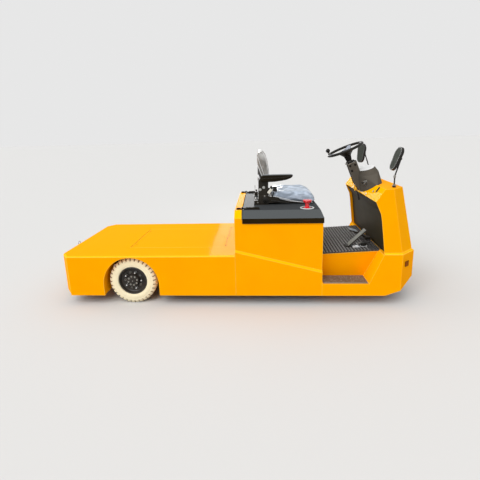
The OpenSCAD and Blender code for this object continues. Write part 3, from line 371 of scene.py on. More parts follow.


# %% [markdown]
# The tractor's finishes
# The bodywork is a warm glossy yellow; the sky it catches on its folds and slopes is painted into its colour.
# The lid, the column and the pod are greys, the running gear is black, the tyres are cream non-marking
# rubber and the mats are black ribbed rubber. The first seventeen looks are the record's slots; the others
# are for added pieces and a few single nodes.

# %% Make the finishes
# In every look, edge is a painted highlight along folds and corners.
YELLOW = (0.98, 0.375, 0.0)
LOOKS = {
    # yellow: painted_sky makes faces tilted up yellower as painted sky light; painted_top holds flat tops at
    # the base yellow
    "yellow_paint": dict(colour=YELLOW, drift=(0.95, 0.35, 0.0), rough=0.34, scale=90, depth=0.6,
        edge=(1.0, 0.64, 0.08), edge_highlight_width=0.005, dusty=0.03, coat=0.06, bump=0.02, reach=0.1,
        specular=0.0, coat_ior=1.3, painted_sky=(1.0, 0.47, 0.0), painted_sky_start=0.05, painted_top=YELLOW),
    "black_steel": dict(colour=(0.014, 0.011, 0.007), drift=(0.026, 0.021, 0.014), rough=0.45, scale=160,
        depth=0.5, edge=(0.10, 0.09, 0.08), edge_highlight_width=0.0025, dusty=0.16, bump=0.08, specular=0.2),
    # lid: black paint whose brown tint is the ground's painted reflection; painted_sky and painted_top are
    # painted reflection on its chamfer and top
    "lid_paint": dict(colour=(0.017, 0.010, 0.003), drift=(0.024, 0.016, 0.006), rough=0.42, scale=240,
        depth=0.5, edge=(0.13, 0.14, 0.15), edge_highlight_width=0.003, dusty=0.02, bump=0.04, coat=0.07,
        specular=0.0, coat_ior=1.3, painted_sky=(0.084, 0.092, 0.096), painted_top=(0.046, 0.049, 0.052)),
    "grey_paint": dict(colour=(0.105, 0.092, 0.074), drift=(0.082, 0.074, 0.062), rough=0.34, scale=300,
        depth=0.6, edge=(0.30, 0.29, 0.27), edge_highlight_width=0.003, dusty=0.04, bump=0.06, coat=0.06,
        specular=0.0, coat_ior=1.3),
    "kick_sheet": dict(colour=(0.030, 0.023, 0.008), drift=(0.046, 0.038, 0.020), rough=0.55, scale=180,
        depth=0.5, edge=(0.07, 0.06, 0.04), dusty=0.06, bump=0.06, specular=0.06),
    "tread_sheet": dict(colour=(0.13, 0.075, 0.035), drift=(0.22, 0.14, 0.085), rough=0.75, scale=700,
        depth=1.0, dusty=0.3, bump=0.5, specular=0.2, specks=(130, 0.42, (0.50, 0.44, 0.38))),
    "mat_rubber": dict(colour=(0.016, 0.015, 0.015), drift=(0.034, 0.032, 0.032), rough=0.66, scale=500,
        depth=1.0, edge=(0.25, 0.245, 0.24), edge_highlight_width=0.003, dusty=0.16, bump=0.25, specular=0.12),
    "cream_tyre": dict(colour=(0.90, 0.80, 0.55), drift=(0.82, 0.70, 0.46), rough=0.62, scale=420,
        depth=1.0, edge=(0.97, 0.92, 0.76), edge_highlight_width=0.003, dusty=0.18, bump=0.12, reach=0.2,
        specular=0.2),
    "seat_cover": dict(colour=(0.020, 0.019, 0.018), drift=(0.034, 0.032, 0.030), rough=0.4, scale=900,
        depth=1.0, dusty=0.05, bump=0.3),
    "black_plastic": dict(colour=(0.010, 0.009, 0.007), drift=(0.017, 0.015, 0.013), rough=0.42,
        scale=1100, depth=1.0, edge=(0.06, 0.06, 0.06), edge_highlight_width=0.002, dusty=0.05, bump=0.15,
        specular=0.2),
    "red_plastic": dict(colour=(0.74, 0.010, 0.018), drift=(0.62, 0.008, 0.014), rough=0.2, scale=500,
        depth=0.3, dusty=0.0, coat=0.6, bump=0.03),
    "clear_plastic": dict(colour=(0.62, 0.63, 0.62), drift=(0.48, 0.49, 0.49), rough=0.12, scale=300,
        depth=0.3, dusty=0.05, coat=0.8, bump=0.05),
    "marker_lens": dict(colour=(0.34, 0.085, 0.008), drift=(0.25, 0.055, 0.006), rough=0.2, scale=260,
        depth=0.4, dusty=0.03, coat=0.05, bump=0.06, specular=0.0),
    "bright_steel": dict(colour=(0.62, 0.62, 0.60), drift=(0.5, 0.5, 0.48), rough=0.28, scale=420,
        depth=1.0, dusty=0.1, metallic=1.0, bump=0.1, stretch=(1, 1, 12)),
    "battery_case": dict(colour=(0.05, 0.06, 0.08), drift=(0.07, 0.08, 0.10), rough=0.5, scale=200,
        depth=0.6, dusty=0.3, bump=0.1),
    "lamp_lens": dict(colour=(0.74, 0.76, 0.78), drift=(0.62, 0.64, 0.66), rough=0.1, scale=120,
        depth=0.5, dusty=0.08, coat=1.0, bump=0.12),
    # mirror glass: a flat dark colour with no shine, the painted reflection of the dark surroundings
    "mirror_glass": dict(colour=(0.075, 0.082, 0.072), drift=(0.05, 0.054, 0.047), rough=0.22, scale=20,
        depth=0.2, dusty=0.04, bump=0.01, specular=0.0, coat=0.01, coat_ior=1.3),
    "wheel_black": dict(colour=(0.011, 0.008, 0.006), drift=(0.020, 0.016, 0.012), rough=0.34, scale=120,
        depth=0.5, edge=(0.07, 0.065, 0.06), edge_highlight_width=0.003, dusty=0.12, bump=0.05, coat=0.15,
        specular=0.25),
    "zinc": dict(colour=(0.52, 0.52, 0.50), drift=(0.40, 0.40, 0.38), rough=0.3, scale=500, depth=1.0,
        dusty=0.1, metallic=1.0, bump=0.08),
    "dull_zinc": dict(colour=(0.34, 0.33, 0.30), drift=(0.24, 0.23, 0.21), rough=0.38, scale=500,
        depth=1.0, dusty=0.2, metallic=0.9, bump=0.1),
    "film_fold": dict(colour=(0.80, 0.81, 0.82), drift=(0.62, 0.63, 0.64), rough=0.18, scale=300,
        depth=1.0, dusty=0.0, coat=0.6, bump=0.1),
    # pod: painted_top is a painted highlight that makes the flat top pale under the sky
    "pod_paint": dict(colour=(0.105, 0.092, 0.074), drift=(0.086, 0.076, 0.064), rough=0.34, scale=300,
        depth=0.6, dusty=0.04, bump=0.06, coat=0.06, specular=0.0, coat_ior=1.3, painted_top=(0.76, 0.76, 0.76),
        painted_top_start=0.925),
    # hub cover: painted_sky is the sky's painted reflection on its top
    "hub_face": dict(colour=(0.016, 0.015, 0.014), drift=(0.024, 0.022, 0.020), rough=0.4, scale=900,
        depth=0.8, edge=(0.10, 0.10, 0.10), edge_highlight_width=0.002, dusty=0.04, bump=0.08, specular=0.0,
        coat=0.05, coat_ior=1.3, painted_sky=(0.30, 0.32, 0.37), painted_sky_start=0.70),
    # armrest: painted_sky is a painted highlight on its upper faces
    "armrest_skin": dict(colour=(0.014, 0.011, 0.007), drift=(0.022, 0.018, 0.012), rough=0.36, scale=700,
        depth=1.0, edge=(0.10, 0.10, 0.10), edge_highlight_width=0.003, dusty=0.02, bump=0.12, coat=0.04,
        specular=0.0, coat_ior=1.3, painted_sky=(0.24, 0.25, 0.26)),
    "pale_plastic": dict(colour=(0.74, 0.71, 0.62), drift=(0.60, 0.57, 0.50), rough=0.3, scale=400,
        depth=0.6, dusty=0.15, bump=0.05, coat=0.4),
    "joint_shadow": dict(colour=(0.075, 0.030, 0.006), drift=(0.05, 0.020, 0.004), rough=0.7, scale=300,
        depth=0.6, dusty=0.0, bump=0.05, specular=0.0),
    "hinge_black": dict(colour=(0.010, 0.008, 0.006), drift=(0.018, 0.015, 0.011), rough=0.5, scale=400,
        depth=0.6, edge=(0.05, 0.045, 0.04), edge_highlight_width=0.002, dusty=0.05, bump=0.06, specular=0.0),
    "worn_rubber": dict(colour=(0.24, 0.235, 0.23), drift=(0.17, 0.165, 0.16), rough=0.8, scale=400,
        depth=0.8, dusty=0.2, bump=0.15, specular=0.1),
    "worn_pad": dict(colour=(0.19, 0.20, 0.18), drift=(0.14, 0.145, 0.13), rough=0.7, scale=500,
        depth=0.8, edge=(0.30, 0.31, 0.28), edge_highlight_width=0.002, dusty=0.1, bump=0.15, specular=0.15),
    "pale_pad": dict(colour=(0.25, 0.275, 0.30), drift=(0.19, 0.21, 0.23), rough=0.6, scale=500,
        depth=0.8, edge=(0.40, 0.42, 0.44), edge_highlight_width=0.002, dusty=0.1, bump=0.15, specular=0.2),
    # nuts and sender brackets: zinc whose pale tone is partly a painted glint
    "zinc_and_painted_glint": dict(colour=(0.72, 0.73, 0.74), drift=(0.50, 0.50, 0.50), rough=0.35, scale=500,
        depth=0.8, dusty=0.1, bump=0.1, specular=0.4),
    "mirror_rim_highlight": dict(colour=(0.16, 0.16, 0.155), drift=(0.10, 0.10, 0.095), rough=0.4, scale=400,
        depth=0.6, dusty=0.05, bump=0.06, specular=0.3),
    # painted shade for the floors of the tyre notches
    "tyre_notch_shade": dict(colour=(0.34, 0.26, 0.16), drift=(0.24, 0.18, 0.11), rough=0.8, scale=300,
        depth=0.8, dusty=0.2, bump=0.1, specular=0.1),
}
FINISHES = {name: make_finish(name, **look) for name, look in LOOKS.items()}
print("finishes:", len(FINISHES))

# %% [markdown]
# Clear film
# Delivery film is thin, glossy and creased: it hides little, but throws bright pale streaks wherever a
# crease turns towards the sky. A see-through shell whose cover thickens along its creases gives the first;
# the streaks are a painted reflection, a paler colour along the same creases.

# %% Make the film
def make_film(name, thin, thick, scale, stretch, dull, painted_streak):
    """film whose cover runs from thin to thick along broad soft folds; dull between folds, painted_streak a
    painted reflection on them.
    """
    material, tree, shader = new_material(name)
    folds = clouds(tree, stretched(tree, own_place(tree), stretch), scale, 2, 0.8)
    soft = maths(tree, "MULTIPLY", maths(tree, "SUBTRACT", folds, 0.36), 3.4, clamp=True)
    cover = maths(tree, "ADD", maths(tree, "MULTIPLY", soft, thick - thin), thin, clamp=True)
    wire(tree, blend_colours(tree, soft, dull, painted_streak), shader.inputs["Base Color"])
    wire(tree, cover, shader.inputs["Alpha"])
    shader.inputs["Roughness"].default_value = 0.3
    shader.inputs["Specular IOR Level"].default_value = 0.06
    shader.inputs["Coat Weight"].default_value = 0.08
    shader.inputs["Coat Roughness"].default_value = 0.12
    fine = use_group(tree, grain, Scale=60, Depth=0.6, Stretch=(1, 1, 1))
    height = maths(tree, "ADD", folds, maths(tree, "MULTIPLY", fine.outputs["Height"], 0.3))
    raise_surface(tree, shader, height, 0.25, 0.003)
    return material


# the second colour of each film is the painted reflection along its creases
FINISHES["cushion_film"] = make_film("cushion_film", 0.74, 0.97, 10, (1.0, 1.0, 2.6), (0.40, 0.47, 0.57),
                                     (0.58, 0.66, 0.78))
FINISHES["back_film"] = make_film("back_film", 0.50, 0.93, 8, (1.6, 1.0, 0.7), (0.42, 0.40, 0.37),
                                  (0.76, 0.76, 0.75))
print("films: 2")

# %% Put each CAD node in its slot's finish
for row in frame["record"]["subparts"]:
    node = nodes[row["node"]]
    node.data.materials.clear()
    node.data.materials.append(FINISHES[row["material_slot"]])
OWN_LOOKS = {"rear_rim_right": "wheel_black", "rear_rim_left": "wheel_black", "front_rim": "wheel_black",
             "hinge_leaves": "hinge_black", "lid_hinges": "hinge_black", "instrument_pod": "pod_paint"}
for name, finish in OWN_LOOKS.items():
    nodes[name].data.materials[0] = FINISHES[finish]
print("nodes with a look of their own:", len(OWN_LOOKS))

# %% [markdown]
# Tools for built pieces
# Every added piece is a mesh made from rings of points: turned parts from a profile, rods from a path,
# plates from an outline with rounded edges. Modifiers could round a plain box, but rings place each edge
# where it belongs. A piece stands on a place, which is a matrix with its own X, Y and Z.

# %% Outlines, paths and places
def circle(radius, count, start=0.0):
    """points on a circle, from a first angle in degrees."""
    angles = [math.radians(start) + 2 * math.pi * k / count for k in range(count)]
    return [(radius * math.cos(t), radius * math.sin(t)) for t in angles]


def rounded(width, height, corner, steps=4):
    """outline of a rectangle with round corners, about its middle."""
    points = []
    for cx, cy, start in ((1, 1, 0), (-1, 1, 90), (-1, -1, 180), (1, -1, 270)):
        for k in range(steps + 1):
            t = math.radians(start + 90 * k / steps)
            points.append((cx * (width / 2 - corner) + corner * math.cos(t), cy * (height / 2 - corner)
                           + corner * math.sin(t)))
    return points


def curve_through(points, per=6):
    """a smooth path through the points."""
    points = [Vector(p) for p in points]
    ends = [points[0] * 2 - points[1]] + points + [points[-1] * 2 - points[-2]]
    path = []
    for a, b, c, d in zip(ends, ends[1:], ends[2:], ends[3:]):
        for k in range(per):
            t = k / per
            bend = (2 * a - 5 * b + 4 * c - d) * t * t + (3 * b - a - 3 * c + d) * t ** 3
            path.append(0.5 * ((2 * b) + (c - a) * t + bend))
    path.append(points[-1])
    return path


def at(place, facing=(0, 0, 1), spin=0.0):
    """a place whose own Z points along facing."""
    turn = Vector((0, 0, 1)).rotation_difference(Vector(facing).normalized())
    return Matrix.Translation(place) @ turn.to_matrix().to_4x4() @ Matrix.Rotation(spin, 4, "Z")


def laid(origin, along, normal):
    """a place with its own X along a direction and its own Z along a normal."""
    z = Vector(normal).normalized()
    x = Vector(along)
    x = (x - z * x.dot(z)).normalized()
    return Matrix.Translation(origin) @ Matrix((x, z.cross(x), z)).transposed().to_4x4()


def moved(place, x=0.0, y=0.0, z=0.0):
    """the place, moved along its own axes."""
    return place @ Matrix.Translation((x, y, z))


def turned_about(place, degrees, axis):
    """the place, turned about one of its own axes."""
    return place @ Matrix.Rotation(math.radians(degrees), 4, axis)


def on_place(place, outline):
    """an outline's points on a place."""
    return [place @ Vector((x, y, 0)) for x, y in outline]


def slope(degrees, sign=1):
    """the two directions of a slope, up along it and out of it."""
    a = math.radians(degrees)
    return Vector((sign * math.cos(a), 0, math.sin(a))), Vector((-sign * math.sin(a), 0, math.cos(a)))


# %% Shape builder
class Shape:
    """Gathers faces for one piece, in the row frame."""

    def __init__(self):
        self.bm = bmesh.new()

    def ring(self, points):
        return [self.bm.verts.new(p) for p in points]

    def join(self, a, b):
        """faces between two rings; a ring of one point is a tip."""
        if len(a) == 1 and len(b) == 1:
            return
        count = max(len(a), len(b))
        for i in range(count):
            j = (i + 1) % count
            if len(a) == 1:
                self.bm.faces.new((a[0], b[j], b[i]))
            elif len(b) == 1:
                self.bm.faces.new((b[0], a[i], a[j]))
            else:
                self.bm.faces.new((a[i], a[j], b[j], b[i]))

    def loft(self, rings):
        """a skin from ring to ring, with a cap at each end."""
        rows = [self.ring(r) for r in rings]
        for a, b in zip(rows, rows[1:]):
            self.join(a, b)
        self.bm.faces.new(list(reversed(rows[0])))
        self.bm.faces.new(rows[-1])

    def band(self, rings):
        """a skin from ring to ring, and from the last to the first."""
        rows = [self.ring(r) for r in rings]
        for a, b in zip(rows, rows[1:] + rows[:1]):
            self.join(a, b)

    def turned(self, profile, place, steps=32, closed=False):
        """profile is (radius, height) turned about the place's own Z."""
        rows = []
        for radius, height in profile:
            spots = circle(radius, steps) if radius > 1e-6 else [(0, 0)]
            rows.append(self.ring([place @ Vector((x, y, height)) for x, y in spots]))
        if closed:
            rows.append(rows[0])
        for a, b in zip(rows, rows[1:]):
            self.join(a, b)

    def tube(self, path, radius, steps=10, squeeze=1.0):
        """a round or flattened rod along a path of points; radius is one number or one for each point."""
        path = [Vector(p) for p in path]
        across = None
        rings = []
        for i, p in enumerate(path):
            ahead = (path[min(i + 1, len(path) - 1)] - path[max(i - 1, 0)]).normalized()
            if across is None:
                across = ahead.orthogonal().normalized()
            across = (across - ahead * across.dot(ahead)).normalized()
            other = ahead.cross(across)
            r = radius[i] if isinstance(radius, list) else radius
            rings.append([p + across * x + other * (y * squeeze) for x, y in circle(r, steps)])
        self.loft(rings)

    def bent(self, points, radius, steps=10, squeeze=1.0):
        """a rod along a smooth path through the points."""
        self.tube(curve_through(points), radius, steps, squeeze)

    def hoop(self, path, radius, steps=8):
        """a rod along a closed path."""
        path = [Vector(p) for p in path]
        middle = sum(path, Vector()) / len(path)
        rings = []
        for i, p in enumerate(path):
            ahead = (path[(i + 1) % len(path)] - path[i - 1]).normalized()
            out = p - middle
            out = (out - ahead * out.dot(ahead)).normalized()
            other = ahead.cross(out)
            rings.append([p + out * x + other * y for x, y in circle(radius, steps)])
        self.band(rings)

    def plate(self, outline, place, height, edge=0.001, rounds=2):
        """a flat piece from an outline, its edges rounded, standing on the place's XY plane."""
        outline = [Vector((x, y, 0)) for x, y in outline]
        n = len(outline)
        area = sum(outline[i].x * outline[(i + 1) % n].y - outline[(i + 1) % n].x * outline[i].y
                   for i in range(n))
        turn = 1 if area > 0 else -1
        inward = []
        for i in range(n):
            u = (outline[i] - outline[i - 1]).normalized()
            v = (outline[(i + 1) % n] - outline[i]).normalized()
            nu = Vector((-u.y, u.x, 0)) * turn
            m = nu + Vector((-v.y, v.x, 0)) * turn
            inward.append(m / max(m.dot(nu), 0.35))
        levels = []
        for k in range(rounds + 1):
            t = math.pi / 2 * k / rounds
            levels.append((edge * (1 - math.sin(t)), edge * (1 - math.cos(t))))
        levels += [(inset, height - z) for inset, z in reversed(levels)]
        self.loft([[place @ (p + m * inset + Vector((0, 0, z))) for p, m in zip(outline, inward)]
                   for inset, z in levels])

    def bolt(self, place, across, head=None, washer=True, stud=0.0):
        """a hexagon head on its washer, chamfered, with a stud end if one is wanted."""
        head = head or across * 0.55
        r = across / math.sqrt(3)
        base = 0.0
        if washer:
            base = across * 0.10
            self.turned([(0, 0), (across * 0.92, 0), (across * 0.95, base * 0.5), (across * 0.90, base),
                         (0, base)], place, 20)
        levels = [(1.0, base), (1.0, base + head * 0.8), (0.93, base + head * 0.95), (0.82, base + head)]
        self.loft([[place @ Vector((x, y, z)) for x, y in circle(r * k, 6)] for k, z in levels])
        if stud:
            top = base + head
            self.turned([(0, top - 0.001), (across * 0.27, top - 0.001),
                         (across * 0.27, top + stud * 0.75), (across * 0.2, top + stud), (0, top + stud)],
                        place, 14)

    def to_mesh(self, name):
        bmesh.ops.recalc_face_normals(self.bm, faces=self.bm.faces)
        mesh = bpy.data.meshes.new(name)
        self.bm.to_mesh(mesh)
        self.bm.free()
        return mesh

    def done(self, name, finish, body, sharp=34):
        """makes the piece; edges sharper than sharp degrees stay crisp."""
        mesh = self.to_mesh(name)
        mesh.polygons.foreach_set("use_smooth", [True] * len(mesh.polygons))
        mesh.set_sharp_from_angle(angle=math.radians(sharp))
        piece = bpy.data.objects.new(name, mesh)
        bpy.context.scene.collection.objects.link(piece)
        mesh.materials.append(FINISHES[finish])
        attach(piece, body)
        return piece


# %% [markdown]
# Wheels
# Each wheel wears a cream non-marking tyre. Its outer edges are cut by thirty-two notches that stop short
# of the middle of the tread, and fine moulded lines run round the sidewall. A texture could darken the
# notches, but at this distance they break the outline, so the shoulder itself is stepped.

# %% Notched tyres
BEAD = 0.1272
NOTCHES = 32
NOTCH = 0.0130
NOTCH_PULL = 0.0045
REAR_X, FRONT_X = -0.836, 1.369
REAR_AXLE, FRONT_AXLE = 0.21, 0.192
RIGHT, LEFT = (0, -1, 0), (0, 1, 0)
# name, node, body, middle, the side it faces, radius, half of its width
WHEELS = [
    ("rear_right", "rear_tyre_right", "rear_wheel_right", (REAR_X, -0.469, REAR_AXLE), RIGHT, 0.21, 0.052),
    ("rear_left", "rear_tyre_left", "rear_wheel_left", (REAR_X, 0.469, REAR_AXLE), LEFT, 0.21, 0.052),
    ("front", "front_tyre", "front_wheel", (FRONT_X, 0, FRONT_AXLE), RIGHT, 0.192, 0.055),
]


def tyre_profile(radius, half):
    """section from the inner to the outer bead, round the tread: radius, height, part of a notch's depth."""
    side = [(BEAD, half - 0.0125, 0), (0.1315, half - 0.0045, 0), (0.1350, half - 0.0022, 0),
            (0.1385, half - 0.0014, 0), (0.1400, half - 0.0030, 0), (0.1415, half - 0.0014, 0),
            (0.1480, half - 0.0003, 0), (0.1600, half, 0), (radius - 0.040, half - 0.0004, 0),
            (radius - 0.0375, half - 0.0018, 0), (radius - 0.035, half - 0.0004, 0),
            (radius - 0.026, half - 0.0022, 0), (radius - 0.019, half - 0.0045, 0.15),
            (radius - 0.010, half - 0.0090, 0.75), (radius - 0.0032, half - 0.0145, 1),
            (radius - 0.0006, half - 0.021, 1), (radius, half - 0.0285, 1), (radius, half - 0.0330, 0),
            (radius, 0.0130, 0), (radius - 0.005, 0.0115, 0), (radius - 0.005, 0.0070, 0),
            (radius, 0.0055, 0)]
    far = [(r, -h, -cut) for r, h, cut in reversed(side)]
    bore = [(BEAD, -half * 0.4, 0), (BEAD, half * 0.4, 0)]
    return side + far + bore


def make_tyre(name, node, body, middle, facing, radius, half):
    place = at(middle, facing)
    # each notch takes eight columns: its part of the pitch, then how deep the near and the far side are cut
    pitch = ((0.0, 1, 0), (0.22, 1, 0), (0.28, 0, 0), (0.47, 0, 0), (0.50, 0, 1), (0.72, 0, 1),
             (0.78, 0, 0), (0.97, 0, 0))
    rings = []
    for notch in range(NOTCHES):
        for phase, near, far in pitch:
            angle = (notch + phase) * 2 * math.pi / NOTCHES
            ring = []
            for r, h, cut in tyre_profile(radius, half):
                part = cut * near if cut > 0 else -cut * far
                pull = NOTCH_PULL * part * (1 if h > 0 else -1)
                out = r - NOTCH * part
                ring.append(place @ Vector((out * math.cos(angle), out * math.sin(angle), h - pull)))
            rings.append(ring)
    shape = Shape()
    shape.band(rings)
    tyre = shape.done(name, "cream_tyre", body, sharp=42)
    # the notch floors get a darker colour: painted shade where the notches fall in shadow
    tyre.data.materials.append(FINISHES["tyre_notch_shade"])
    back = place.inverted()
    for face in tyre.data.polygons:
        p = back @ face.center
        turn = math.atan2(p.y, p.x) / (2 * math.pi) * NOTCHES % 1.0
        out = math.hypot(p.x, p.y)
        off = abs(p.z)
        in_notch = turn < 0.27 if p.z > 0 else 0.48 < turn < 0.77
        on_shoulder = off > half - 0.032 and out > radius - 0.024
        below_tread = out < radius - 0.004 or off > half - 0.026
        if in_notch and on_shoulder and below_tread:
            face.material_index = 1
    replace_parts(tyre, node)
    return tyre


for name, node, body, middle, side, radius, half in WHEELS:
    make_tyre("tyre_" + name, node, body, middle, side, radius, half)
print("tyres:", len(WHEELS))

# %% Wheel nuts, vent rings, hub flanges and caps
NUT_CIRCLE = 0.075
SCREW_CIRCLE = 0.0400


def dress_wheel(name, body, middle, facing, half):
    outer = Matrix.Translation(Vector(facing) * half)
    nuts, vents = Shape(), Shape()
    for k in range(10):
        angle = math.radians(36 * k)
        spot = Vector(middle) + Vector((NUT_CIRCLE * math.cos(angle), 0, -NUT_CIRCLE * math.sin(angle)))
        place = outer @ at(spot, facing, angle)
        if k % 2:
            vents.turned([(0.0062, 0.0), (0.0066, 0.0016), (0.0082, 0.0022), (0.0094, 0.0010),
                          (0.0098, 0.0), (0.0062, -0.0004)], moved(place, z=-0.0336), 20, closed=True)
        else:
            nuts.bolt(moved(place, z=-0.0338), 0.0200, head=0.0175, washer=False, stud=0.009)
    nuts.done(name + "_nuts", "zinc_and_painted_glint", body)
    vents.done(name + "_vents", "dull_zinc", body)


def dress_hub(name, body, middle, facing, half):
    flange, screws = Shape(), Shape()
    place = Matrix.Translation(Vector(facing) * half) @ at(middle, facing)
    flange.turned([(0.030, -0.0085), (0.030, -0.0062), (0.0465, -0.0062), (0.0488, -0.0075),
                   (0.0505, -0.0122), (0.030, -0.0122)], place, 48)
    flange.turned([(0.0, -0.0015), (0.012, -0.0018), (0.0215, -0.0030), (0.0255, -0.0048),
                   (0.0268, -0.0075), (0.0268, -0.0105), (0.0, -0.0105)], place, 40)
    for x, y in circle(SCREW_CIRCLE, 8, 12):
        screws.bolt(moved(place, x, y, -0.0063), 0.0085, head=0.005)
    screws.turned([(0.0, 0.0008), (0.0035, 0.0006), (0.0046, -0.0006), (0.0046, -0.003), (0.0, -0.003)],
                  place, 16)
    flange.done(name + "_hub", "wheel_black", body)
    screws.done(name + "_hub_screws", "dull_zinc", body)


for name, node, body, middle, side, radius, half in WHEELS:
    dress_wheel(name, body, middle, side, half)
    if name.startswith("rear"):
        dress_hub(name, body, middle, side, half)
print("wheels dressed")

# %% [markdown]
# The seat
# The seat is black vinyl, still wrapped in the clear film it was delivered in. The pads could be smoothed
# boxes, but foam under a cover bulges between its edges, so each pad is blown up a little as a cloth. The
# film is a second, looser skin over the pad, gathered into folds along the pad's underside.

# %% Soft pads, blown up as cloth
PRESSURE = 4.0
VOXEL = 0.006
CLOTH_STEPS = 20


def baked(piece):
    """the mesh that the piece's modifiers give."""
    graph = bpy.context.evaluated_depsgraph_get()
    return bpy.data.meshes.new_from_object(piece.evaluated_get(graph))


def swell(name, rings, cap):
    """a pad lofted from its sections, remeshed and swollen as a cloth, no point moving past cap."""
    shape = Shape()
    shape.loft(rings)
    pad = bpy.data.objects.new(name, shape.to_mesh(name))
    bpy.context.scene.collection.objects.link(pad)
    even = pad.modifiers.new("even", "REMESH")
    even.mode = "VOXEL"
    even.voxel_size = VOXEL
    pad.data = baked(pad)
    pad.modifiers.clear()
    start = [v.co.copy() for v in pad.data.vertices]
    cloth = pad.modifiers.new("cloth", "CLOTH")
    cloth.settings.use_pressure = True
    cloth.settings.uniform_pressure_force = PRESSURE
    cloth.settings.effector_weights.gravity = 0
    for step in range(1, CLOTH_STEPS + 1):
        bpy.context.scene.frame_set(step)
    swollen = baked(pad)
    pad.modifiers.clear()
    bpy.context.scene.frame_set(1)
    for vertex, at_rest in zip(swollen.vertices, start):
        moved_by = vertex.co - at_rest
        if moved_by.length > cap:
            vertex.co = at_rest + moved_by * (cap / moved_by.length)
    pad.data = swollen
    return pad


def kept_inside(point, limits):
    """the point, held between the limits' low and high corners."""
    return Vector([min(max(c, low), high) for c, low, high in zip(point, *limits)])


def cover(piece, finish):
    """shades the piece smooth, in one finish."""
    piece.data.polygons.foreach_set("use_smooth", [True] * len(piece.data.polygons))
    piece.data.materials.clear()
    piece.data.materials.append(FINISHES[finish])


def settle(pad, finish, body, limits):
    """evens the pad's skin, keeps it inside its limits and rides it on its body."""
    bm = bmesh.new()
    bm.from_mesh(pad.data)
    for _ in range(3):
        bmesh.ops.smooth_vert(bm, verts=bm.verts, factor=0.5, use_axis_x=True, use_axis_y=True,
                              use_axis_z=True)
    for vertex in bm.verts:
        vertex.co = kept_inside(vertex.co, limits)
    bm.to_mesh(pad.data)
    bm.free()
    cover(pad, finish)
    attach(pad, body)
    return pad


def pad_section(y, outline, inset):
    """one cross-section of a pad in the XZ plane at y, pulled in by inset."""
    middle = Vector((sum(p[0] for p in outline) / len(outline),
                     sum(p[1] for p in outline) / len(outline)))
    points = []
    for x, z in outline:
        away = Vector((x, z)) - middle
        away *= max(0.0, 1 - inset / away.length)
        points.append(Vector((middle.x + away.x, y, middle.y + away.y)))
    return points


def soften(outline):
    """cuts the corners of an outline twice, until it is round."""
    for _ in range(2):
        cut = []
        for i, (x, z) in enumerate(outline):
            nx, nz = outline[(i + 1) % len(outline)]
            cut.append((x * 0.75 + nx * 0.25, z * 0.75 + nz * 0.25))
            cut.append((x * 0.25 + nx * 0.75, z * 0.25 + nz * 0.75))
        outline = cut
    return outline


CUSHION = [(0.402, 0.868), (0.600, 0.853), (0.796, 0.840), (0.806, 0.856), (0.790, 0.892), (0.745, 0.922),
           (0.680, 0.934), (0.560, 0.937), (0.430, 0.930), (0.400, 0.915)]
BACKREST = [(0.284, 0.992), (0.352, 0.992), (0.378, 1.030), (0.378, 1.100), (0.366, 1.170),
            (0.350, 1.240), (0.330, 1.292), (0.308, 1.305), (0.288, 1.303), (0.280, 1.270),
            (0.284, 1.150)]
# where a section stands, in halves of the pad's width, and how many millimetres it is pulled in there
ACROSS = [(-1.0, 26), (-0.985, 15), (-0.955, 7), (-0.90, 2.5), (-0.80, 0), (-0.5, 0), (-0.2, 0)]
SKIN = 0.004
CUSHION_SPACE = ((0.401, -0.2345, 0.8395), (0.8045, 0.2345, 0.9365))
BACKREST_SPACE = ((0.2805, -0.2305, 0.9905), (0.3785, 0.2305, 1.3045))


def make_pad(name, node, outline, half, cap, limits):
    outline = soften(outline)
    sections = ACROSS + [(-y, inset) for y, inset in reversed(ACROSS)]
    rings = [pad_section(y * half, outline, inset / 1000 + SKIN) for y, inset in sections]
    pad = swell(name, rings, cap)
    settle(pad, "seat_cover", "lid", limits)
    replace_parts(pad, node)
    return pad


cushion = make_pad("cushion", "seat_cushion", CUSHION, 0.228, 0.010, CUSHION_SPACE)
backrest = make_pad("backrest", "seat_backrest", BACKREST, 0.225, 0.008, BACKREST_SPACE)
print("pads:", len(cushion.data.vertices), len(backrest.data.vertices), "points")

# %% Clear film over the pads
FILM_LIFT = 0.0014
CUSHION_FILM_SPACE = ((0.3975, -0.240, 0.8385), (0.808, 0.240, 0.942))
BACKREST_FILM_SPACE = ((0.276, -0.236, 0.989), (0.383, 0.236, 1.309))
CUSHION_FOLDS = [((0.3, 1, 0.1), 9, 0.0020), ((1, 0.2, -0.25), 12, 0.0026)]
BACKREST_FOLDS = [((-0.15, 0.2, 1), 13, 0.0036), ((0.1, 1, 0.2), 9, 0.0030)]


def wrap(name, pad, finish, limits, folds):
    """a copy of the pad's skin, lifted and creased; a fold is a direction, a scale and a depth."""
    film = bpy.data.objects.new(name, pad.data.copy())
    bpy.context.scene.collection.objects.link(film)
    normals = [v.normal.copy() for v in film.data.vertices]
    for vertex, normal in zip(film.data.vertices, normals):
        p = vertex.co
        crease = 0.0
        for direction, scale, depth in folds:
            along = Vector(direction).normalized()
            flat = p - along * (p.dot(along) * 0.9)
            crease += depth * (1 - min(1.0, abs(noise.noise(flat * scale)) * 3.2)) ** 2
        vertex.co = kept_inside(p + normal * (FILM_LIFT + crease), limits)
    cover(film, finish)
    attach(film, "lid")
    return film


wrap("film_on_cushion", cushion, "cushion_film", CUSHION_FILM_SPACE, CUSHION_FOLDS)
film_back = wrap("film_on_backrest", backrest, "back_film", BACKREST_FILM_SPACE, BACKREST_FOLDS)
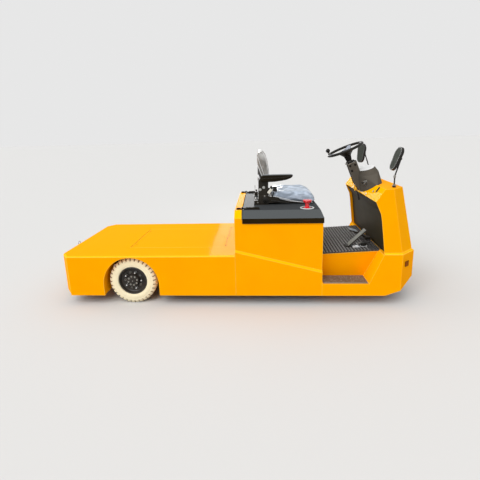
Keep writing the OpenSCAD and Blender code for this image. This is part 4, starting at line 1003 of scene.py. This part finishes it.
# the film stops short of the backrest's lower rear edge, where the black shell shows
cut = bmesh.new()
cut.from_mesh(film_back.data)
bare = [v for v in cut.verts if v.co.z < 1.185 - 2.6 * (v.co.x - 0.280)]
bmesh.ops.delete(cut, geom=bare, context="VERTS")
cut.to_mesh(film_back.data)
cut.free()
print("film on the pads")

# %% Gathered film along the pads' edges
FOLD = [0.0012] + [0.0022] * 29 + [0.0012]
HEM = [0.0014] + [0.0030] * 17 + [0.0018]
KNOT = [0.002, 0.004, 0.006, 0.007, 0.008, 0.009, 0.0095, 0.010, 0.010, 0.0095, 0.009, 0.008, 0.0075,
        0.007, 0.0065, 0.006, 0.0055, 0.005, 0.0045, 0.004, 0.0035, 0.003, 0.0025, 0.002, 0.0015]
gathers = Shape()
gathers.bent([(0.412, -0.2375, 0.9055), (0.475, -0.2405, 0.8915), (0.535, -0.2415, 0.8745),
              (0.600, -0.2405, 0.8585), (0.690, -0.2375, 0.8440), (0.770, -0.226, 0.8418)], FOLD, 8, 0.7)
gathers.bent([(0.430, -0.2365, 0.8990), (0.520, -0.2400, 0.8690), (0.600, -0.2390, 0.8525),
              (0.700, -0.236, 0.8425)], 0.0014, 8, 0.7)
gathers.bent([(0.2825, -0.2300, 1.258), (0.3000, -0.2335, 1.200), (0.3180, -0.2340, 1.150),
              (0.3340, -0.2330, 1.100), (0.338, -0.232, 1.050)], 0.0021, 8, 0.7)
gathers.bent([(0.330, -0.2280, 1.290), (0.350, -0.2330, 1.245), (0.3655, -0.2335, 1.180),
              (0.3760, -0.2320, 1.110), (0.3775, -0.230, 1.04)], 0.0021, 8, 0.7)
# the loose hem of the backrest's film, with the knot that hangs behind the recliner
gathers.bent([(0.2800, -0.2300, 1.185), (0.2940, -0.2345, 1.150), (0.3110, -0.2350, 1.105),
              (0.3290, -0.2345, 1.060)], HEM, 8, 0.7)
gathers.bent([(0.2840, -0.2320, 1.100), (0.2900, -0.2370, 1.080), (0.2960, -0.2385, 1.062),
              (0.2890, -0.2380, 1.046), (0.2830, -0.2360, 1.036)], KNOT, 10, 0.6)
gathers.done("film_gathers", "film_fold", "lid")

# %% [markdown]
# Armrest, recliner bolts and belt buckle
# The armrest is a long soft wedge, round at both ends. It could be a box with bevelled edges, but its
# underside rises to the front, so it is lofted through eleven sections. Bright bolt heads and the pale
# buckle sit on the black side plates and are what shows most of the seat's frame.

# %% Armrest
REST = [(0.3035, 1.052, 1.066), (0.3070, 1.044, 1.080), (0.3140, 1.040, 1.094), (0.3280, 1.0385, 1.1035),
        (0.3700, 1.0365, 1.104), (0.4300, 1.0395, 1.104), (0.4900, 1.047, 1.104), (0.5350, 1.056, 1.104),
        (0.5680, 1.068, 1.1035), (0.5810, 1.079, 1.1005), (0.5860, 1.0875, 1.0965)]
rest = Shape()
rings = []
for i, (x, low_z, high_z) in enumerate(REST):
    tall = high_z - low_z
    wide = 0.0435 if 0 < i < len(REST) - 1 else 0.034
    outline = rounded(wide, tall, min(0.011, tall * 0.45, wide * 0.45))
    rings.append([Vector((x, -0.275 + y, (low_z + high_z) / 2 + z)) for y, z in outline])
rest.loft(rings)
rest.turned([(0.0, -0.0036), (0.0118, -0.0036), (0.0118, 0.0036), (0.0, 0.0036)],
            at((0.330, -0.252, 1.058), (0, -1, 0)), 28)
armrest = rest.done("armrest", "armrest_skin", "armrest_right", sharp=50)
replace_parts(armrest, "armrest_right")
welt = Shape()
for y in (-0.2968, -0.2532):
    welt.bent([(0.310, y, 1.066), (0.345, y, 1.072), (0.45, y, 1.0745), (0.54, y, 1.082),
               (0.578, y, 1.0885)], 0.0011, 6)
welt.done("armrest_welt", "black_plastic", "armrest_right")
print("armrest sections:", len(REST))

# %% Bolts and fittings of the seat's side plates
PLATE_SIDE = 0.2482
plates = Shape()
for y in (-1, 1):
    for x, z, across in ((0.333, 0.985, 0.013), (0.301, 0.966, 0.013), (0.345, 0.861, 0.015)):
        plates.bolt(at((x, y * PLATE_SIDE, z), (0, y, 0), 0.3), across, head=0.0055)
plates.done("recliner_bolts", "zinc", "lid")
springs = Shape()
for y in (-1, 1):
    springs.bolt(at((0.277, y * PLATE_SIDE, 0.849), (0, y, 0)), 0.012, head=0.005)
    springs.turned([(0.0, 0.0), (0.0060, 0.0), (0.0085, 0.0015), (0.0085, 0.0050), (0.0050, 0.0075),
                    (0.0, 0.0080)], at((0.262, y * 0.2500, 0.884), (0, y, 0)), 20)
    springs.turned([(0.0, 0.0), (0.0045, 0.0), (0.0070, 0.0012), (0.0070, 0.0042), (0.0, 0.0050)],
                   at((0.3400, y * PLATE_SIDE, 0.9080), (0, y, 0)), 20)
    # tension spring between the plate's foot and its arm
    coil = []
    for k in range(121):
        t = k / 120
        a = t * 2 * math.pi * 12
        aside = 0.2365 + 0.0042 * math.sin(a)
        coil.append((0.2505 - 0.004 * t + 0.0042 * math.cos(a), y * aside, 0.884 + t * 0.050))
    springs.tube(coil, 0.0009, 5)
springs.done("recliner_fittings", "dull_zinc", "lid")
covers = Shape()
for y in (-1, 1):
    # slotted plastic cover of the recliner and the lever beside the cushion
    outline = soften([(0.350, -0.8395), (0.372, -0.8505), (0.378, -0.872), (0.366, -0.892),
                      (0.330, -0.902), (0.322, -0.872), (0.328, -0.846)])
    upright = Matrix(((1, 0, 0, 0), (0, 0, y, 0), (0, -1, 0, 0), (0, 0, 0, 1)))
    covers.plate(outline, Matrix.Translation((0, y * 0.2512, 0)) @ upright, 0.004, 0.0012)
    covers.bent([(0.400, y * 0.2525, 0.868), (0.440, y * 0.2535, 0.862), (0.500, y * 0.2530, 0.852),
                 (0.560, y * 0.2500, 0.845)], [0.004] + [0.0055] * 17 + [0.0065], 8, 0.7)
covers.done("recliner_covers", "black_plastic", "lid")
print("seat fittings built")

# %% [markdown]
# The belt buckle hangs beside the cushion on a short stalk: a pale body with a black head, and the dark
# end of the belt behind it. Its edges are rounded plates on a slanted place, since it leans to the rear.

# %% Belt buckle beside the cushion
def slanted(x, y, z, lean):
    """a place standing on its edge beside the seat: own X along the lean, own Y up, own Z to the side."""
    u, v = slope(lean)
    return Matrix.Translation((x, y, z)) @ Matrix((u, v, u.cross(v))).transposed().to_4x4()


buckle = Shape()
buckle.plate(rounded(0.052, 0.027, 0.005), slanted(0.3890, -0.247, 0.9525, 52), 0.016, 0.0025, 3)
buckle.done("buckle_body", "pale_plastic", "lid")
head = Shape()
head.plate(rounded(0.021, 0.026, 0.005), slanted(0.4010, -0.248, 0.9850, 42), 0.018, 0.003, 3)
head.plate(rounded(0.036, 0.044, 0.004), slanted(0.4320, -0.239, 0.9670, 0), 0.012, 0.003, 3)
head.bent([(0.3750, -0.2400, 0.9330), (0.3700, -0.2420, 0.915), (0.3720, -0.2440, 0.893)], 0.0065, 8, 0.5)
head.bent([(0.4200, -0.2350, 0.947), (0.4180, -0.2380, 0.925), (0.4100, -0.2400, 0.900)], 0.0070, 8, 0.45)
head.done("buckle_head", "black_plastic", "lid")
print("buckle built")

# %% [markdown]
# Stop button
# A red mushroom on a stem inside a clear guard ring. Turned profiles give both their soft edges. The ring
# and the stem stay in the space that the CAD gives them.

# %% Stop button and its ring
BUTTON = (0.699, -0.407, 0.8273)
stop = Shape()
stop.turned([(0.0, 0.0), (0.0295, 0.0), (0.0300, 0.0015), (0.0295, 0.0060), (0.0265, 0.0078),
             (0.0185, 0.0080), (0.0170, 0.0095), (0.0170, 0.0450), (0.0185, 0.0465), (0.0290, 0.0480),
             (0.0340, 0.0540), (0.0372, 0.0620), (0.0378, 0.0665), (0.0360, 0.0695), (0.0300, 0.0712),
             (0.0200, 0.0719), (0.0, 0.0720)], at(BUTTON), 44)
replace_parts(stop.done("mushroom_button", "red_plastic", "lid"), "stop_button")
guard = Shape()
guard.turned([(0.0465, 0.0), (0.0598, 0.0), (0.0600, 0.0020), (0.0592, 0.0052), (0.0565, 0.0068),
              (0.0500, 0.0070), (0.0472, 0.0060), (0.0463, 0.0035)], at(BUTTON), 48, closed=True)
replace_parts(guard.done("guard_ring", "clear_plastic", "lid"), "stop_ring")
base = Shape()
base.turned([(0.031, 0.0), (0.0462, 0.0), (0.0462, 0.0016), (0.0440, 0.0026), (0.0330, 0.0026),
             (0.031, 0.0018)], at(BUTTON), 40, closed=True)
for x, y in circle(0.0385, 4, 45):
    base.turned([(0.0, 0.0026), (0.0032, 0.0026), (0.0028, 0.0040), (0.0, 0.0043)],
                moved(at(BUTTON), x, y), 12)
base.done("button_base", "black_plastic", "lid")
print("stop button built")

# %% [markdown]
# Deck and body seams
# The hatch's front edge shows as a thin dark line with two finger holes, and the side sheets meet in a
# narrow dark joint. Sheets a millimetre apart give almost no line at this distance, so dark strips of
# painted shade lie in the joints, and small dark discs paint the shade in the finger holes.

# %% Painted shade in the hatch's joints and finger holes, and in the body joints
DECK_TOP = 0.4541
hatch_shade = Shape()
hatch_shade.bent([(-0.003, 0.344, DECK_TOP), (-0.0230, 0.350, DECK_TOP), (-0.0255, 0.330, DECK_TOP),
           (-0.0255, 0.0, DECK_TOP), (-0.0255, -0.268, DECK_TOP), (-0.0240, -0.283, DECK_TOP),
           (-0.011, -0.283, DECK_TOP)], 0.0028, 6, 0.5)
hatch_shade.tube([(-0.9045, -0.310, DECK_TOP), (-0.9045, 0.0, DECK_TOP), (-0.9045, 0.310, DECK_TOP)], 0.0016, 6)
for x, y in ((-0.010, 0.039), (-0.030, -0.050), (-0.880, 0.220), (-0.880, -0.220)):
    hatch_shade.turned([(0.0, 0.0002), (0.0045, 0.0002), (0.0060, 0.0006), (0.0068, 0.0), (0.0, -0.0004)],
                at((x, y, DECK_TOP)), 14)
hatch_shade.done("hatch_painted_shade", "joint_shadow", "chassis")
JOINT_SIDE = 0.5541
joints = Shape()
for y in (-1, 1):
    joints.tube([(0.0825, y * JOINT_SIDE, z) for z in (0.094, 0.20, 0.30, 0.40, 0.4400)], 0.0011, 6)
    joints.tube([(0.8171, y * JOINT_SIDE, z) for z in (0.094, 0.13, 0.16, 0.186)], 0.0009, 6)
    joints.tube([(-1.3905, y * JOINT_SIDE, z) for z in (0.118, 0.20, 0.30, 0.438)], 0.0007, 6)
    joints.tube([(1.0010, y * 0.3705, z) for z in (0.212, 0.30, 0.38, 0.408)], 0.0012, 6)
joints.done("body_joint_shade", "joint_shadow", "chassis")
print("deck and body joints drawn")

# %% [markdown]
# Hinge leaves
# Two strap hinges carry the lid. Their leaves are black and screwed down; the CAD gives the knuckles, and
# the dress adds the straps' pressed ribs and screw heads, so that the leaves stand out from the grey lid.

# %% Hinge ribs and screws
def hinge_dress(name, body, rows, rear, front, level):
    """a pressed rib from rear to front and screws on both leaves of a kind; a row is x and offset."""
    straps, screws = Shape(), Shape()
    for side in (-1, 1):
        middle = side * 0.425
        crest = ((rear + front) / 2, middle, level + 0.0006)
        straps.tube([(rear, middle, level), crest, (front, middle, level)], 0.0105, 10, 0.36)
        for x, offset in rows:
            screws.turned([(0.0062, 0.0), (0.0060, 0.0016), (0.0042, 0.0030), (0.0, 0.0034),
                           (0.0, -0.0002)], at((x, middle + offset, level - 0.0012)), 14)
    straps.done(name + "_ribs", "hinge_black", body)
    screws.done(name + "_screws", "hinge_black", body)


hinge_dress("lid_hinge", "lid", [(x, y) for x in (0.205, 0.277) for y in (0.0135, -0.0135)], 0.178, 0.290,
            0.8345)
hinge_dress("strip_hinge", "chassis", [(0.106, 0.0135), (0.106, -0.0135)], 0.099, 0.132, 0.8325)
print("hinges dressed")

# %% [markdown]
# Floor mat
# The footwell's mat is ribbed rubber. Shoes polish the tops of the ribs to a dusty grey while the grooves
# stay black, which is what makes the ribs show. Each rib gets a thin worn cap in its own finish.

# %% Worn rib tops
MAT_REAR, MAT_FOOT, MAT_SLOPE = 0.8190, 0.4148, math.atan(0.0537)
RIBS, RIB_PITCH, RIB_FIRST = 19, 0.027, 0.013


def on_mat(length, y, lift):
    """a place on the sloping mat, its own X up the slope."""
    tilt = Vector((math.cos(MAT_SLOPE), 0, math.sin(MAT_SLOPE)))
    normal = Vector((-math.sin(MAT_SLOPE), 0, math.cos(MAT_SLOPE)))
    return laid(Vector((MAT_REAR, y, MAT_FOOT)) + tilt * length + normal * lift, tilt, normal)


RIB_TOP = rounded(0.0085, 0.402, 0.003, 2)
pale_marks = Shape()
for rib in range(RIBS):
    for y in (-0.2065, 0.2065):
        pale_marks.plate(RIB_TOP, on_mat(RIB_FIRST + RIB_PITCH * rib, y, 0.0099), 0.0008, 0.0003, 1)
pale_marks.done("mat_rib_tops", "worn_rubber", "chassis")
print("ribs:", RIBS)

# %% [markdown]
# Step treads
# The steps are gritty sheets with rows of small pressed bumps. Bump mapping alone would vanish at the
# shallow angle at which the step is seen, so the bumps are there as shapes.

# %% Pressed bumps on both steps
BUMP_PITCH, BUMP_ROWS, STEP_FRONT = 0.0168, 9, 1.200
bumps = Shape()
for side in (-1, 1):
    for i in range(22):
        for j in range(BUMP_ROWS):
            x = 0.838 + BUMP_PITCH * i + (BUMP_PITCH / 2 if j % 2 else 0.0)
            y = side * (0.385 + 0.0190 * j)
            if x < STEP_FRONT:
                bumps.turned([(0.0048, 0.0), (0.0034, 0.0014), (0.0, 0.0018)], at((x, y, 0.2029)), 8)
bumps.done("tread_bumps", "tread_sheet", "chassis")
trim = Shape()
for side in (-1, 1):
    trim.tube([(x, side * 0.5445, 0.2034) for x in (0.832, 0.95, 1.08, 1.2015)], 0.0024, 8, 0.5)
trim.done("tread_edges", "dull_zinc", "chassis")
print("treads dressed")

# %% [markdown]
# Fittings on the cowl
# The sloping facet holds four screws and a slotted grip with a small metal latch; the housing beside the
# column carries a key switch. A yellow tab and two short leads show under the column's foot.

# %% Facet screws, grip insert, column tab and leads
FACET = Vector((-0.8321, 0, 0.5547))
SLOPE = Vector((0.5547, 0, 0.8321))
fasteners = Shape()
for spot in ((1.2697, -0.322, 0.9466), (1.2420, -0.2103, 0.9050), (1.2697, 0.322, 0.9466),
             (1.2420, 0.2103, 0.9050)):
    fasteners.bolt(at(Vector(spot) + FACET * 0.0002, FACET), 0.011, head=0.0045)
fasteners.done("facet_screws", "dull_zinc", "chassis")
slot = laid(Vector((1.2857, -0.388, 0.9705)), SLOPE, FACET)
lining = Shape()
lining.hoop(on_place(moved(slot, z=0.0006), rounded(0.0495, 0.0195, 0.0096, 8)), 0.0032, 8)
lining.done("grip_lining", "black_plastic", "chassis")
insert = Shape()
insert.plate(rounded(0.0455, 0.0155, 0.0076, 6), moved(slot, z=-0.0085), 0.003, 0.001)
insert.done("grip_insert", "black_plastic", "chassis")
bar = Shape()
bar.plate(rounded(0.017, 0.0135, 0.003, 3), moved(slot, z=-0.0055), 0.0035, 0.001)
bar.done("grip_latch", "zinc", "chassis")
tab = Shape()
TAB_ALONG = (0.61, 0, -0.79)
foot = laid((1.2215, 0.060, 0.9080), TAB_ALONG, (-0.70, -0.25, 0.55))
ear = laid((1.2090, 0.064, 0.9255), TAB_ALONG, (-0.10, -0.55, 0.80))
tab.plate(rounded(0.034, 0.030, 0.006, 3), foot, 0.003)
tab.plate(rounded(0.018, 0.022, 0.005, 3), ear, 0.003)
tab.done("column_tab", "yellow_paint", "chassis")
leads = Shape()
for x, y, reach in ((1.2505, 0.052, 0.0), (1.2525, 0.085, 0.012)):
    leads.bent([(x - 0.010, y, 0.888), (x - 0.006, y - 0.004, 0.868), (x + 0.0005, y - 0.008, 0.846),
                (x + 0.0045, y - 0.006, 0.826 - reach), (x + 0.013, y - 0.004, 0.808 - reach)], 0.0042, 8)
leads.done("column_leads", "black_plastic", "chassis")
print("cowl fittings built")

# %% Key switch
KEY_FACING = Vector((-math.cos(math.radians(30)), -0.5, 0))
key_place = at(Vector((1.262, -0.143, 1.000)), KEY_FACING)
bezel = Shape()
bezel.turned([(0.0105, 0.0290), (0.0105, 0.0312), (0.0125, 0.0322), (0.0145, 0.0312), (0.0152, 0.0290),
              (0.0152, 0.0265), (0.0105, 0.0265)], key_place, 32)
bezel.turned([(0.0, 0.0306), (0.0085, 0.0306), (0.0090, 0.0296), (0.0, 0.0290)], key_place, 24)
bezel.done("key_bezel", "zinc", "chassis")
key = Shape()
key.plate(rounded(0.0032, 0.013, 0.0012, 2), moved(key_place, z=0.0300), 0.012, 0.0006)
key.plate(rounded(0.020, 0.024, 0.007, 4), turned_about(moved(key_place, -0.0035, 0, 0.0510), 90, "Y"),
          0.006, 0.0018)
key.done("key", "black_plastic", "chassis")
nut = Shape()
nut.turned([(0.0150, 0.0120), (0.0205, 0.0120), (0.0212, 0.0138), (0.0195, 0.0160), (0.0150, 0.0168)],
           key_place, 32)
nut.done("switch_collar", "dull_zinc", "chassis")
print("key switch built")

# %% [markdown]
# Steering column and wheel
# The column's square housing ends in a clamp plate with four bolts round the collar. The wheel has a
# dished plastic cover over its hub, broad spokes and a spinner knob. Everything here is set out along the
# column's own axis, so the pieces are made in that frame and tilted once.

# %% Clamp plate and collar on the column
LEAN = 22
column = laid((1.252, 0, 0.894), *slope(LEAN))
clamp = Shape()
clamp.plate(rounded(0.088, 0.086, 0.006, 3), moved(column, 0.011, 0, 0.2883), 0.0045, 0.0012)
clamp.plate(rounded(0.020, 0.050, 0.004, 3), moved(column, -0.034, 0, 0.2930), 0.010, 0.002)
clamp.done("column_clamp", "dull_zinc", "chassis")
bolts = Shape()
for x, y in ((-0.022, -0.032), (-0.022, 0.032), (0.044, -0.032), (0.044, 0.032)):
    bolts.bolt(moved(column, x, y, 0.2929), 0.013, head=0.007, stud=0.004)
for x, z in ((-0.016, 0.2700), (0.030, 0.2650), (-0.016, 0.2215)):
    for side in (-1, 1):
        bolts.bolt(turned_about(moved(column, x, side * 0.0402, z), -90 * side, "X"), 0.011, head=0.006)
bolts.done("column_bolts", "hinge_black", "chassis")
split = Shape()
split.turned([(0.0268, 0.2945), (0.0325, 0.2950), (0.0335, 0.2980), (0.0335, 0.3090), (0.0325, 0.3115),
              (0.0268, 0.3120)], column, 36)
split.plate(rounded(0.026, 0.016, 0.003, 3), moved(column, 0.0, -0.0375, 0.2965), 0.013, 0.002)
split.done("column_collar", "black_plastic", "chassis")

# %% Hub cover, spokes and knob of the wheel
SPOKE = [(0.050, -0.034), (0.080, -0.0275), (0.115, -0.0195), (0.147, -0.0175), (0.147, 0.0175),
         (0.115, 0.0195), (0.080, 0.0275), (0.050, 0.034)]
hub = Shape()
hub.turned([(0.0, 0.4262), (0.0220, 0.4255), (0.0290, 0.4240), (0.0315, 0.4218), (0.0322, 0.4196),
            (0.0345, 0.4190), (0.0480, 0.4180), (0.0660, 0.4152), (0.0745, 0.4125), (0.0778, 0.4092),
            (0.0772, 0.4060), (0.0, 0.4060)], column, 56)
for angle in (60, 180, 300):
    arm = turned_about(moved(turned_about(column, angle, "Z"), z=0.398), -12, "Y")
    hub.plate(SPOKE, moved(arm, z=-0.0055), 0.011, 0.003, 3)
hub.turned([(0.0112, 0.3180), (0.0235, 0.3180), (0.0260, 0.3230), (0.0285, 0.3400), (0.0310, 0.3560),
            (0.0345, 0.3665), (0.0112, 0.3665)], column, 36, closed=True)
hub.done("wheel_cover", "hub_face", "steering_wheel")
knob = Shape()
spin = moved(turned_about(column, 150, "Z"), 0.158, 0, 0.436)
knob.turned([(0.0080, -0.002), (0.0135, -0.0005), (0.0140, 0.004), (0.0105, 0.008), (0.0082, 0.010)],
            spin, 24)
knob.turned([(0.0, 0.0522), (0.0062, 0.0516), (0.0070, 0.0508), (0.0, 0.0500)], spin, 20)
knob.done("spinner_knob_trim", "dull_zinc", "steering_wheel")
print("column and wheel dressed")

# %% [markdown]
# Pedals
# The accelerator is a long plate hinged on the floor and the brake is a square pad on an arm. Both carry
# ribbed rubber pads worn pale by shoes. A small bracket, a rod and a spring connect the accelerator to
# its sender.

# %% Rubber pads
def ribbed_pad(shape, place, long, wide, ribs):
    """a rubber pad with ribs across it."""
    shape.plate(rounded(long, wide, 0.006, 3), place, 0.0030, 0.0010)
    rib = rounded(0.0048, wide - 0.010, 0.002, 2)
    for k in range(ribs):
        x = (k + 0.5) / ribs * (long - 0.012) - (long - 0.012) / 2
        shape.plate(rib, moved(place, x, 0, 0.0028), 0.0018, 0.0007, 1)


plate_up, plate_face = slope(44)
accelerator = Shape()
spot = Vector((1.093, -0.27, 0.4475)) + plate_up * 0.1015 + plate_face * 0.0081
ribbed_pad(accelerator, laid(spot, plate_up, plate_face), 0.198, 0.064, 14)
accelerator.done("accelerator_pad", "worn_pad", "chassis")
tread_up, tread_face = slope(16, -1)
brake = Shape()
spot = Vector((1.130, -0.10, 0.545)) - tread_up * 0.041 + tread_face * 0.0101
ribbed_pad(brake, laid(spot, tread_up, tread_face), 0.080, 0.082, 6)
brake.done("brake_pad", "pale_pad", "chassis")

# %% Sender bracket, rod and spring
sender = Shape()
base = on_mat(0.335, -0.300, 0.0103)
sender.plate(rounded(0.062, 0.044, 0.004, 3), base, 0.004, 0.001)
sender.plate(rounded(0.030, 0.026, 0.004, 3), turned_about(moved(base, 0.004, 0, 0.004), 90, "X"), 0.004,
             0.001)
for y in (0.010, -0.010):
    sender.bolt(moved(base, -0.017, y, 0.004), 0.010)
sender.plate(rounded(0.058, 0.042, 0.004, 3), moved(base, 0.070, 0.012, 0.0), 0.004, 0.001)
sender.bolt(moved(base, 0.085, 0.012, 0.004), 0.012)
sender.done("sender_brackets", "zinc_and_painted_glint", "chassis")
rod = Shape()
rod.tube([(1.154, -0.300, 0.474), (1.190, -0.296, 0.480), (1.222, -0.290, 0.478)], 0.0045, 8)
coil = []
for k in range(97):
    t = k / 96
    a = t * 2 * math.pi * 8
    coil.append((1.168 + 0.040 * t, -0.274 + 0.0055 * math.cos(a), 0.466 + 0.0055 * math.sin(a)))
rod.tube(coil, 0.0012, 5)
rod.done("sender_rod", "zinc", "chassis")
box_piece = Shape()
box_piece.plate(rounded(0.046, 0.040, 0.006, 3), moved(on_mat(0.402, -0.288, 0.0103), 0, 0, 0.004), 0.026,
                0.003, 3)
box_piece.bent([(1.228, -0.276, 0.466), (1.252, -0.262, 0.464), (1.275, -0.250, 0.462),
                (1.294, -0.246, 0.466)], 0.0035, 8)
box_piece.done("sender_box", "black_plastic", "chassis")
print("pedals dressed")

# %% [markdown]
# Mirrors
# Each mirror has a pale rim line, a painted highlight where its rubber frame meets the glass, and a lock
# nut at its foot. The rim follows the glass that the CAD gives, so its points are read from that face.

# %% Painted rim highlights and feet of the mirrors
glass = nodes["mirror_glasses"].data
rim_highlights = Shape()
feet = Shape()
for side in (-1, 1):
    faces = [p for p in glass.polygons if p.center.y * side > 0]
    facing = max((p for p in faces if p.normal.x < -0.3), key=lambda p: p.area).normal.copy()
    flat = [p for p in faces if p.normal.dot(facing) > 0.999]
    points = {tuple(round(c, 5) for c in glass.vertices[i].co) for p in flat for i in p.vertices}
    points = [Vector(p) for p in sorted(points)]
    middle = sum(points, Vector()) / len(points)
    across = facing.orthogonal().normalized()
    other = facing.cross(across)
    rim = sorted(points, key=lambda p: math.atan2((p - middle).dot(other), (p - middle).dot(across)))
    far = [p for p in rim if (p - middle).length > 0.03]
    # a pale tube just off the glass's edge: the rim's painted highlight
    rim_highlights.hoop([p + facing * 0.0016 for p in far], 0.0021, 6)
for x, y in ((1.402, -0.425), (1.442, 0.425)):
    feet.bolt(at((x, y, 1.0094)), 0.021, head=0.009)
    feet.turned([(0.0058, 0.078), (0.0092, 0.080), (0.0098, 0.086), (0.0098, 0.094), (0.0080, 0.1005),
                 (0.0058, 0.1015)], at((x, y, 0.995)), 20)
rim_highlights.done("mirror_rim_highlights", "mirror_rim_highlight", "chassis")
feet.done("mirror_feet", "dull_zinc", "chassis")
print("mirrors dressed")

# %% [markdown]
# Lamps
# Small lamps are lens, bezel and screws. The side markers sit on the cut front corners as dark amber
# blocks in two fields, the headlamps have ringed lenses, and the tail lamps a dark frame.

# %% Marker frames, headlamp rings, tail lamp frames
CUT = math.radians(42.6)
bars = Shape()
for side in (-1, 1):
    along = Vector((math.cos(CUT), -side * math.sin(CUT), 0))
    out = Vector((math.sin(CUT), side * math.cos(CUT), 0))
    marker = laid(Vector((1.5365, side * 0.492, 0.362)) - along * 0.025 + out * 0.0050, along, out)
    bars.hoop(on_place(marker, rounded(0.0530, 0.0430, 0.003, 3)), 0.0019, 6)
    for x in (-0.0035, 0.0035):
        bars.tube([marker @ Vector((x, y, 0.0008)) for y in (-0.020, 0.0, 0.020)], 0.0012, 6)
bars.done("marker_frames", "joint_shadow", "chassis")
rings = Shape()
optics = Shape()
for side in (-1, 1):
    lamp = at((1.6047, side * 0.250, 0.345), (1, 0, 0))
    rings.turned([(0.0535, -0.0060), (0.0535, -0.0018), (0.0555, -0.0002), (0.0585, -0.0004),
                  (0.0597, -0.0025), (0.0597, -0.0060)], lamp, 56)
    for r in (0.012, 0.022, 0.032, 0.042):
        optics.hoop([lamp @ Vector((x, y, -0.0022)) for x, y in circle(r, 40)], 0.0011, 6)
rings.done("headlamp_rings", "zinc", "chassis")
optics.done("headlamp_optics", "lamp_lens", "chassis")
tails = Shape()
for side in (-1, 1):
    tail = laid((-1.4672, side * 0.387, 0.384), (0, 1, 0), (-1, 0, 0))
    tails.hoop(on_place(tail, rounded(0.1335, 0.0655, 0.006, 4)), 0.0030, 8)
    for x in (-0.050, 0.050):
        tails.turned([(0.0, 0.0062), (0.0036, 0.0062), (0.0046, 0.0070), (0.0036, 0.0078), (0.0, 0.0080)],
                     moved(tail, x, 0, 0), 14)
tails.done("tail_lamp_frames", "black_plastic", "chassis")
print("lamps dressed")

# %% [markdown]
# Running gear and battery
# Underneath, the coupling, frame, axle and motor are held by bolts of believable sizes, and the axle
# hangs in U-bolts. The battery shows its cells when the lid is up: a lid, a vent cap and a link for each.

# %% Coupling, frame and axle fasteners
gear = Shape()
for y in (-0.068, 0.068):
    for z in (-0.068, 0.068):
        gear.bolt(at((-1.4742, y, 0.300 + z), (-1, 0, 0), 0.2), 0.021, stud=0.005)
for side in (-1, 1):
    for x in (-1.411, -0.321, 0.036):
        for z in (0.322, 0.358):
            gear.bolt(at((x, side * 0.3451, z), (0, side, 0), x), 0.017, stud=0.004)
    for x, z in circle(0.095, 8, 10):
        gear.bolt(at((REAR_X + x, side * 0.0701, REAR_AXLE + z), (0, side, 0)), 0.014)
    for x in (-0.029, 0.029):
        y = side * (0.320 + x)
        arc = [(REAR_X + x, y, REAR_AXLE - z) for x, z in circle(0.0505, 28)[:15]]
        gear.tube([(-0.7855, y, 0.262), (-0.7855, y, 0.235)] + arc
                  + [(-0.8865, y, 0.235), (-0.8865, y, 0.262)], 0.006, 8)
gear.done("running_gear_bolts", "dull_zinc", "chassis")
MOTOR_HEIGHT = 0.216
hoops = Shape()
for y in (-0.0165, 0.0165):
    hoops.hoop([(REAR_X + x, y, REAR_AXLE + z) for x, z in circle(0.1135, 48)], 0.0045, 8)
for x in (-0.700, -0.452):
    hoops.hoop([(x, y, MOTOR_HEIGHT + z) for y, z in circle(0.0988, 48)], 0.0040, 8)
hoops.turned([(0.0, 0.0), (0.090, 0.0), (0.0905, 0.004), (0.084, 0.010), (0.034, 0.0115), (0.030, 0.020),
              (0.0, 0.021)], at((-0.4238, 0, MOTOR_HEIGHT), (1, 0, 0)), 48)
hoops.done("casing_flanges", "black_steel", "chassis")
pull = Shape()
pull.hoop([(-1.561, y, 0.4030 + z) for y, z in circle(0.0185, 28)], 0.0028, 8)
pull.done("pin_ring", "zinc", "tow_pin")

# %% Battery cells
BATTERY_REAR, BATTERY_RIGHT, BATTERY_TOP = 0.143, -0.44, 0.6903
BATTERY_LONG, BATTERY_WIDE = 0.634, 0.88
COLUMNS, ROWS = 6, 4
CELL_TOP = 0.6962
cells, caps, links = Shape(), Shape(), Shape()
for i in range(COLUMNS):
    for j in range(ROWS):
        x = BATTERY_REAR + BATTERY_LONG * (i + 0.5) / COLUMNS
        y = BATTERY_RIGHT + BATTERY_WIDE * (j + 0.5) / ROWS
        cells.plate(rounded(0.098, 0.210, 0.008, 3), at((x, y, BATTERY_TOP)), 0.006, 0.002)
        caps.turned([(0.0, 0.0), (0.016, 0.0), (0.016, 0.006), (0.013, 0.010), (0.0, 0.0105)],
                    at((x, y, CELL_TOP)), 20)
        links.turned([(0.0, 0.0), (0.009, 0.0), (0.009, 0.006), (0.006, 0.009), (0.0, 0.0095)],
                     at((x, y + 0.070, CELL_TOP)), 16)
        if j < ROWS - 1:
            links.tube([(x, y + 0.070, 0.7025), (x, y + 0.110, 0.7040), (x, y + 0.150, 0.7025)], 0.0055,
                       8, 0.5)
cells.done("battery_cells", "battery_case", "chassis")
caps.done("battery_caps", "pale_plastic", "chassis")
links.done("battery_links", "black_plastic", "chassis")
print("running gear and battery dressed")

# %% Update the scene
bpy.context.view_layer.update()
